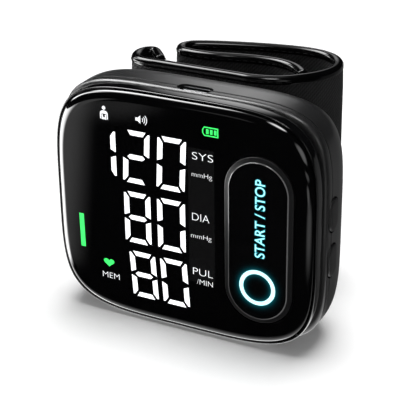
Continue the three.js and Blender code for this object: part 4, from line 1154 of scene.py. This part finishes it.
dress(make_pane(), "housing", "gloss_black", "display_window")
dress(make_bezel(), "housing", "gloss_black", "front_bezel")
dress(make_front_shell(), "housing", "satin_black", "front_case")
dress(make_rear_shell(), "housing", "satin_black", "rear_shell")
dress(make_start_pill(), "start_button", "gloss_black", "start_button")
dress(make_light_ring(), "start_button", "light_guide", "start_ring")
dress(make_key("memory"), "memory_key", "key_black", "memory_key")
dress(make_key("set"), "set_key", "key_black", "set_key")
dress(make_socket_sleeve(), "housing", "metal", "charging_socket")
dress(make_socket_tongue(), "housing", "metal", "socket_tongue")
dress(make_screws(), "housing", "metal", *(f"case_screw_{k}" for k in (1, 2, 3, 4)))
dress(plate("label_strip", [bar(*STRIP_BOX)], "strip_gloss", STRIP_PROUD), "housing", "gloss_black")
for make_marks in (make_digits, make_legends, make_white_icons, make_green_icons):
    dress(make_marks(), "housing", "display_block")
for name, material, box, weight, proud in (
    ("start_word", "word_light", WORD_BOX, 0.0, MARK_PROUD),
    ("word_halo", "halo_light", HALO_BOX, HALO_WEIGHT, 0.4 * MARK_PROUD),
):
    word = make_word(name, START_WORD, material, box, weight, True, START_PROUD + proud)
    dress(word, "start_button", "light_guide")

BEND_STEPS = int(BEND_REACH / CUFF_STEP)
BEND_FIRST, BEND_LAST = CUFF_FOLD - BEND_STEPS, CUFF_FOLD + BEND_STEPS


bend_first, bend_last = CUFF_LENGTHS[BEND_FIRST], CUFF_LENGTHS[BEND_LAST]
cuff_front = make_cuff("cuff_front", 0.0, bend_first, (True, False))
cuff_tail = make_cuff("cuff_tail", bend_last, CUFF_LENGTHS[-1], (False, True))
cuff_bend = make_cuff("cuff_bend", bend_first, bend_last)
hook_pad = make_hook_pad()
dress(cuff_front, "housing", "fabric", "cuff_base")
dress(cuff_tail, "cuff_strap", "fabric", "cuff_strap")
dress(hook_pad, "cuff_strap", "fabric", "hook_patch")
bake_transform(cuff_bend)
dress(make_stitches("stitches_front", 0, BEND_FIRST), "housing", "fabric")
dress(make_stitches("stitches_tail", BEND_LAST, len(CUFF_LENGTHS) - 1), "cuff_strap", "fabric")

CARRIED = {
    "rubber_black": ["window_tape", "pump_cradle"],
    "diffuser": ["display_block"],
    "board_green": ["main_board"],
    "steel": ["start_switch", "memory_switch", "set_switch", "pump_motor", "motor_shaft", "exhaust_valve",
              "valve_plunger"],
    "contact_black": ["start_stem", "speaker"],
    "cell_foil": ["battery_cell"],
    "white_moulding": ["memory_stem", "set_stem", "pump_head", "air_manifold", "pressure_sensor"],
    "silicone": ["pump_hose", "port_seal", "cuff_bladder"],
    "satin_black": ["cuff_plate"],
}
for material, nodes in CARRIED.items():
    for node in nodes:
        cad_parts[node].data.materials.clear()
        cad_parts[node].data.materials.append(LOOKS[material])


# Stage: white floor, a studio that only gloss sees, a sun and the camera

def seen_white(tree):
    """1 for rays that show the background, also in gloss and through glass."""
    path = add(tree, "ShaderNodeLightPath").outputs
    return Amount(path["Is Camera Ray"]).larger(path["Is Glossy Ray"]).larger(path["Is Transmission Ray"])


def gloss_only(piece):
    """Seen in reflections alone: it lights nothing else and casts no shadow."""
    piece.visible_camera = piece.visible_diffuse = piece.visible_shadow = False
    piece.visible_transmission = piece.visible_volume_scatter = False


def stage_card(name, points, material):
    made = mesh_piece(name, points, [(0, 1, 2, 3)], material)
    return made


def sheet_corners(reach, height):
    return [(x, y, height) for x, y in bar(-reach, reach, -reach, reach)]


def make_floor():
    tree = blank_material("floor_white")
    colour = mixed(noise(here(tree), 4.0), *((grey, grey, grey) for grey in FLOOR_GREYS))
    paper = add(tree, "ShaderNodeBsdfDiffuse", {"Color": colour})
    lift = add(tree, "ShaderNodeEmission", {"Strength": seen_white(tree) * FLOOR_LIFT})
    surface(tree, add(tree, "ShaderNodeAddShader", {0: paper.outputs[0], 1: lift.outputs[0]}))
    stage_card("floor", sheet_corners(1.5, -0.0001), "floor_white")


def shine(tree, strength):
    surface(tree, add(tree, "ShaderNodeEmission", {"Color": (1, 1, 1, 1), "Strength": strength}))


def patch(x, y, at_x, at_y, inner, outer, most):
    """A soft round patch of light about a point of a card, in millimetres."""
    return smooth(distance(x - at_x, y - at_y), outer, inner, most)


def strip(axis, rises):
    """A strip of light that rises and falls softly along named axes."""
    return prod(smooth(axis[name], *rise) for name, *rise in rises)


def make_table_card():
    """Dark card round the object's foot, with soft light where its rolled edges mirror the table."""
    tree = blank_material("table_card")
    x, y, _ = axes(here(tree))
    x, y = x / MM, (y - FACE_Y) / MM
    axis = {"x": x, "y": y, "across": x - (y + HAZE_FROM) * HAZE_SLOPE, "leaning": y / (LEAN_FROM - x)}
    light = [strip(axis, rises) for rises in TABLE_STRIPS.values()]
    shine(tree, sum(light + [patch(x, y, *spot) for spot in TABLE_PATCHES]))
    gloss_only(stage_card("table_card", sheet_corners(1.45, -0.00005), "table_card"))


def towards(heading, direction):
    """How closely a heading points in a direction."""
    made = add(heading.id_data, "ShaderNodeVectorMath", {0: heading, 1: direction}, operation="DOT_PRODUCT")
    return Amount(made.outputs["Value"])


def lamp(heading, direction, inner, outer, most):
    """A soft round lamp in one direction, between two angles from it."""
    end, full = (cos(radians(angle)) for angle in (outer, inner))
    return smooth(towards(heading, Vector(direction).normalized()), end, full, most)


def make_studio():
    """Dark room round the object, with the soft lamps its gloss shows."""
    tree = blank_material("studio_walls")
    heading = add(tree, "ShaderNodeVectorMath", {0: here(tree)}, operation="NORMALIZE").outputs["Vector"]
    x, _, z = axes(heading)
    axis = {"x": x, "z": z, "off": abs(towards(heading, STREAK_SIDE) + STREAK_OFF)}
    shine(tree, sum([strip(axis, STREAK)] + [lamp(heading, *values) for values in STUDIO_LAMPS]))
    edit = bmesh.new()
    bmesh.ops.create_uvsphere(edit, u_segments=48, v_segments=32, radius=1.4)
    room = drawn_piece("studio", edit, "studio_walls")
    gloss_only(room)


def make_back_card():
    """Upright card behind the cuff, with the glow that runs along the housing's top."""
    tree = blank_material("back_card")
    x, _, z = axes(here(tree))
    shine(tree, patch(x / MM, z / MM, *BACK_GLOW))
    edges = [(x, FACE_Y + 0.11, z) for x, z in bar(-0.3, 0.3, 0.07, 0.3)]
    gloss_only(stage_card("back_card", edges, "back_card"))


def make_world():
    world = bpy.context.scene.world = bpy.data.worlds.new("surroundings")
    world.use_nodes = True
    tree = world.node_tree
    tree.nodes.clear()
    dim, white = (add(tree, "ShaderNodeBackground", {"Color": (1, 1, 1, 1), "Strength": strength}).outputs[0]
                  for strength in (AMBIENT, 1.0))
    seen = add(tree, "ShaderNodeMixShader", {0: seen_white(tree), 1: dim, 2: white})
    add(tree, "ShaderNodeOutputWorld", {"Surface": seen.outputs[0]})


def make_sun():
    light = bpy.data.lights.new("sun", "SUN")
    light.energy, light.angle = SUN_STRENGTH, radians(SUN_SPREAD)
    made = link("sun", light)
    made.rotation_euler = (-Vector(SUN_FROM)).to_track_quat("-Z", "Y").to_euler()
    made.visible_glossy = False


def make_camera():
    camera = bpy.data.cameras.new("camera")
    camera.lens, camera.sensor_width = CAMERA_LENS, 36.0
    camera.clip_start, camera.clip_end = 0.01, 20.0
    made = link("camera", camera)
    at, aim = (Vector(point) for point in place([CAMERA_AT, CAMERA_AIM]))
    made.location = at
    turn = (aim - at).to_track_quat("-Z", "Y").to_matrix() @ Matrix.Rotation(radians(CAMERA_ROLL), 3, "Z")
    made.rotation_euler = turn.to_euler()
    bpy.context.scene.camera = made


make_camera()
make_world()
make_floor()
make_table_card()
make_studio()
make_back_card()
make_sun()
bpy.context.scene.view_settings.view_transform = "Standard"
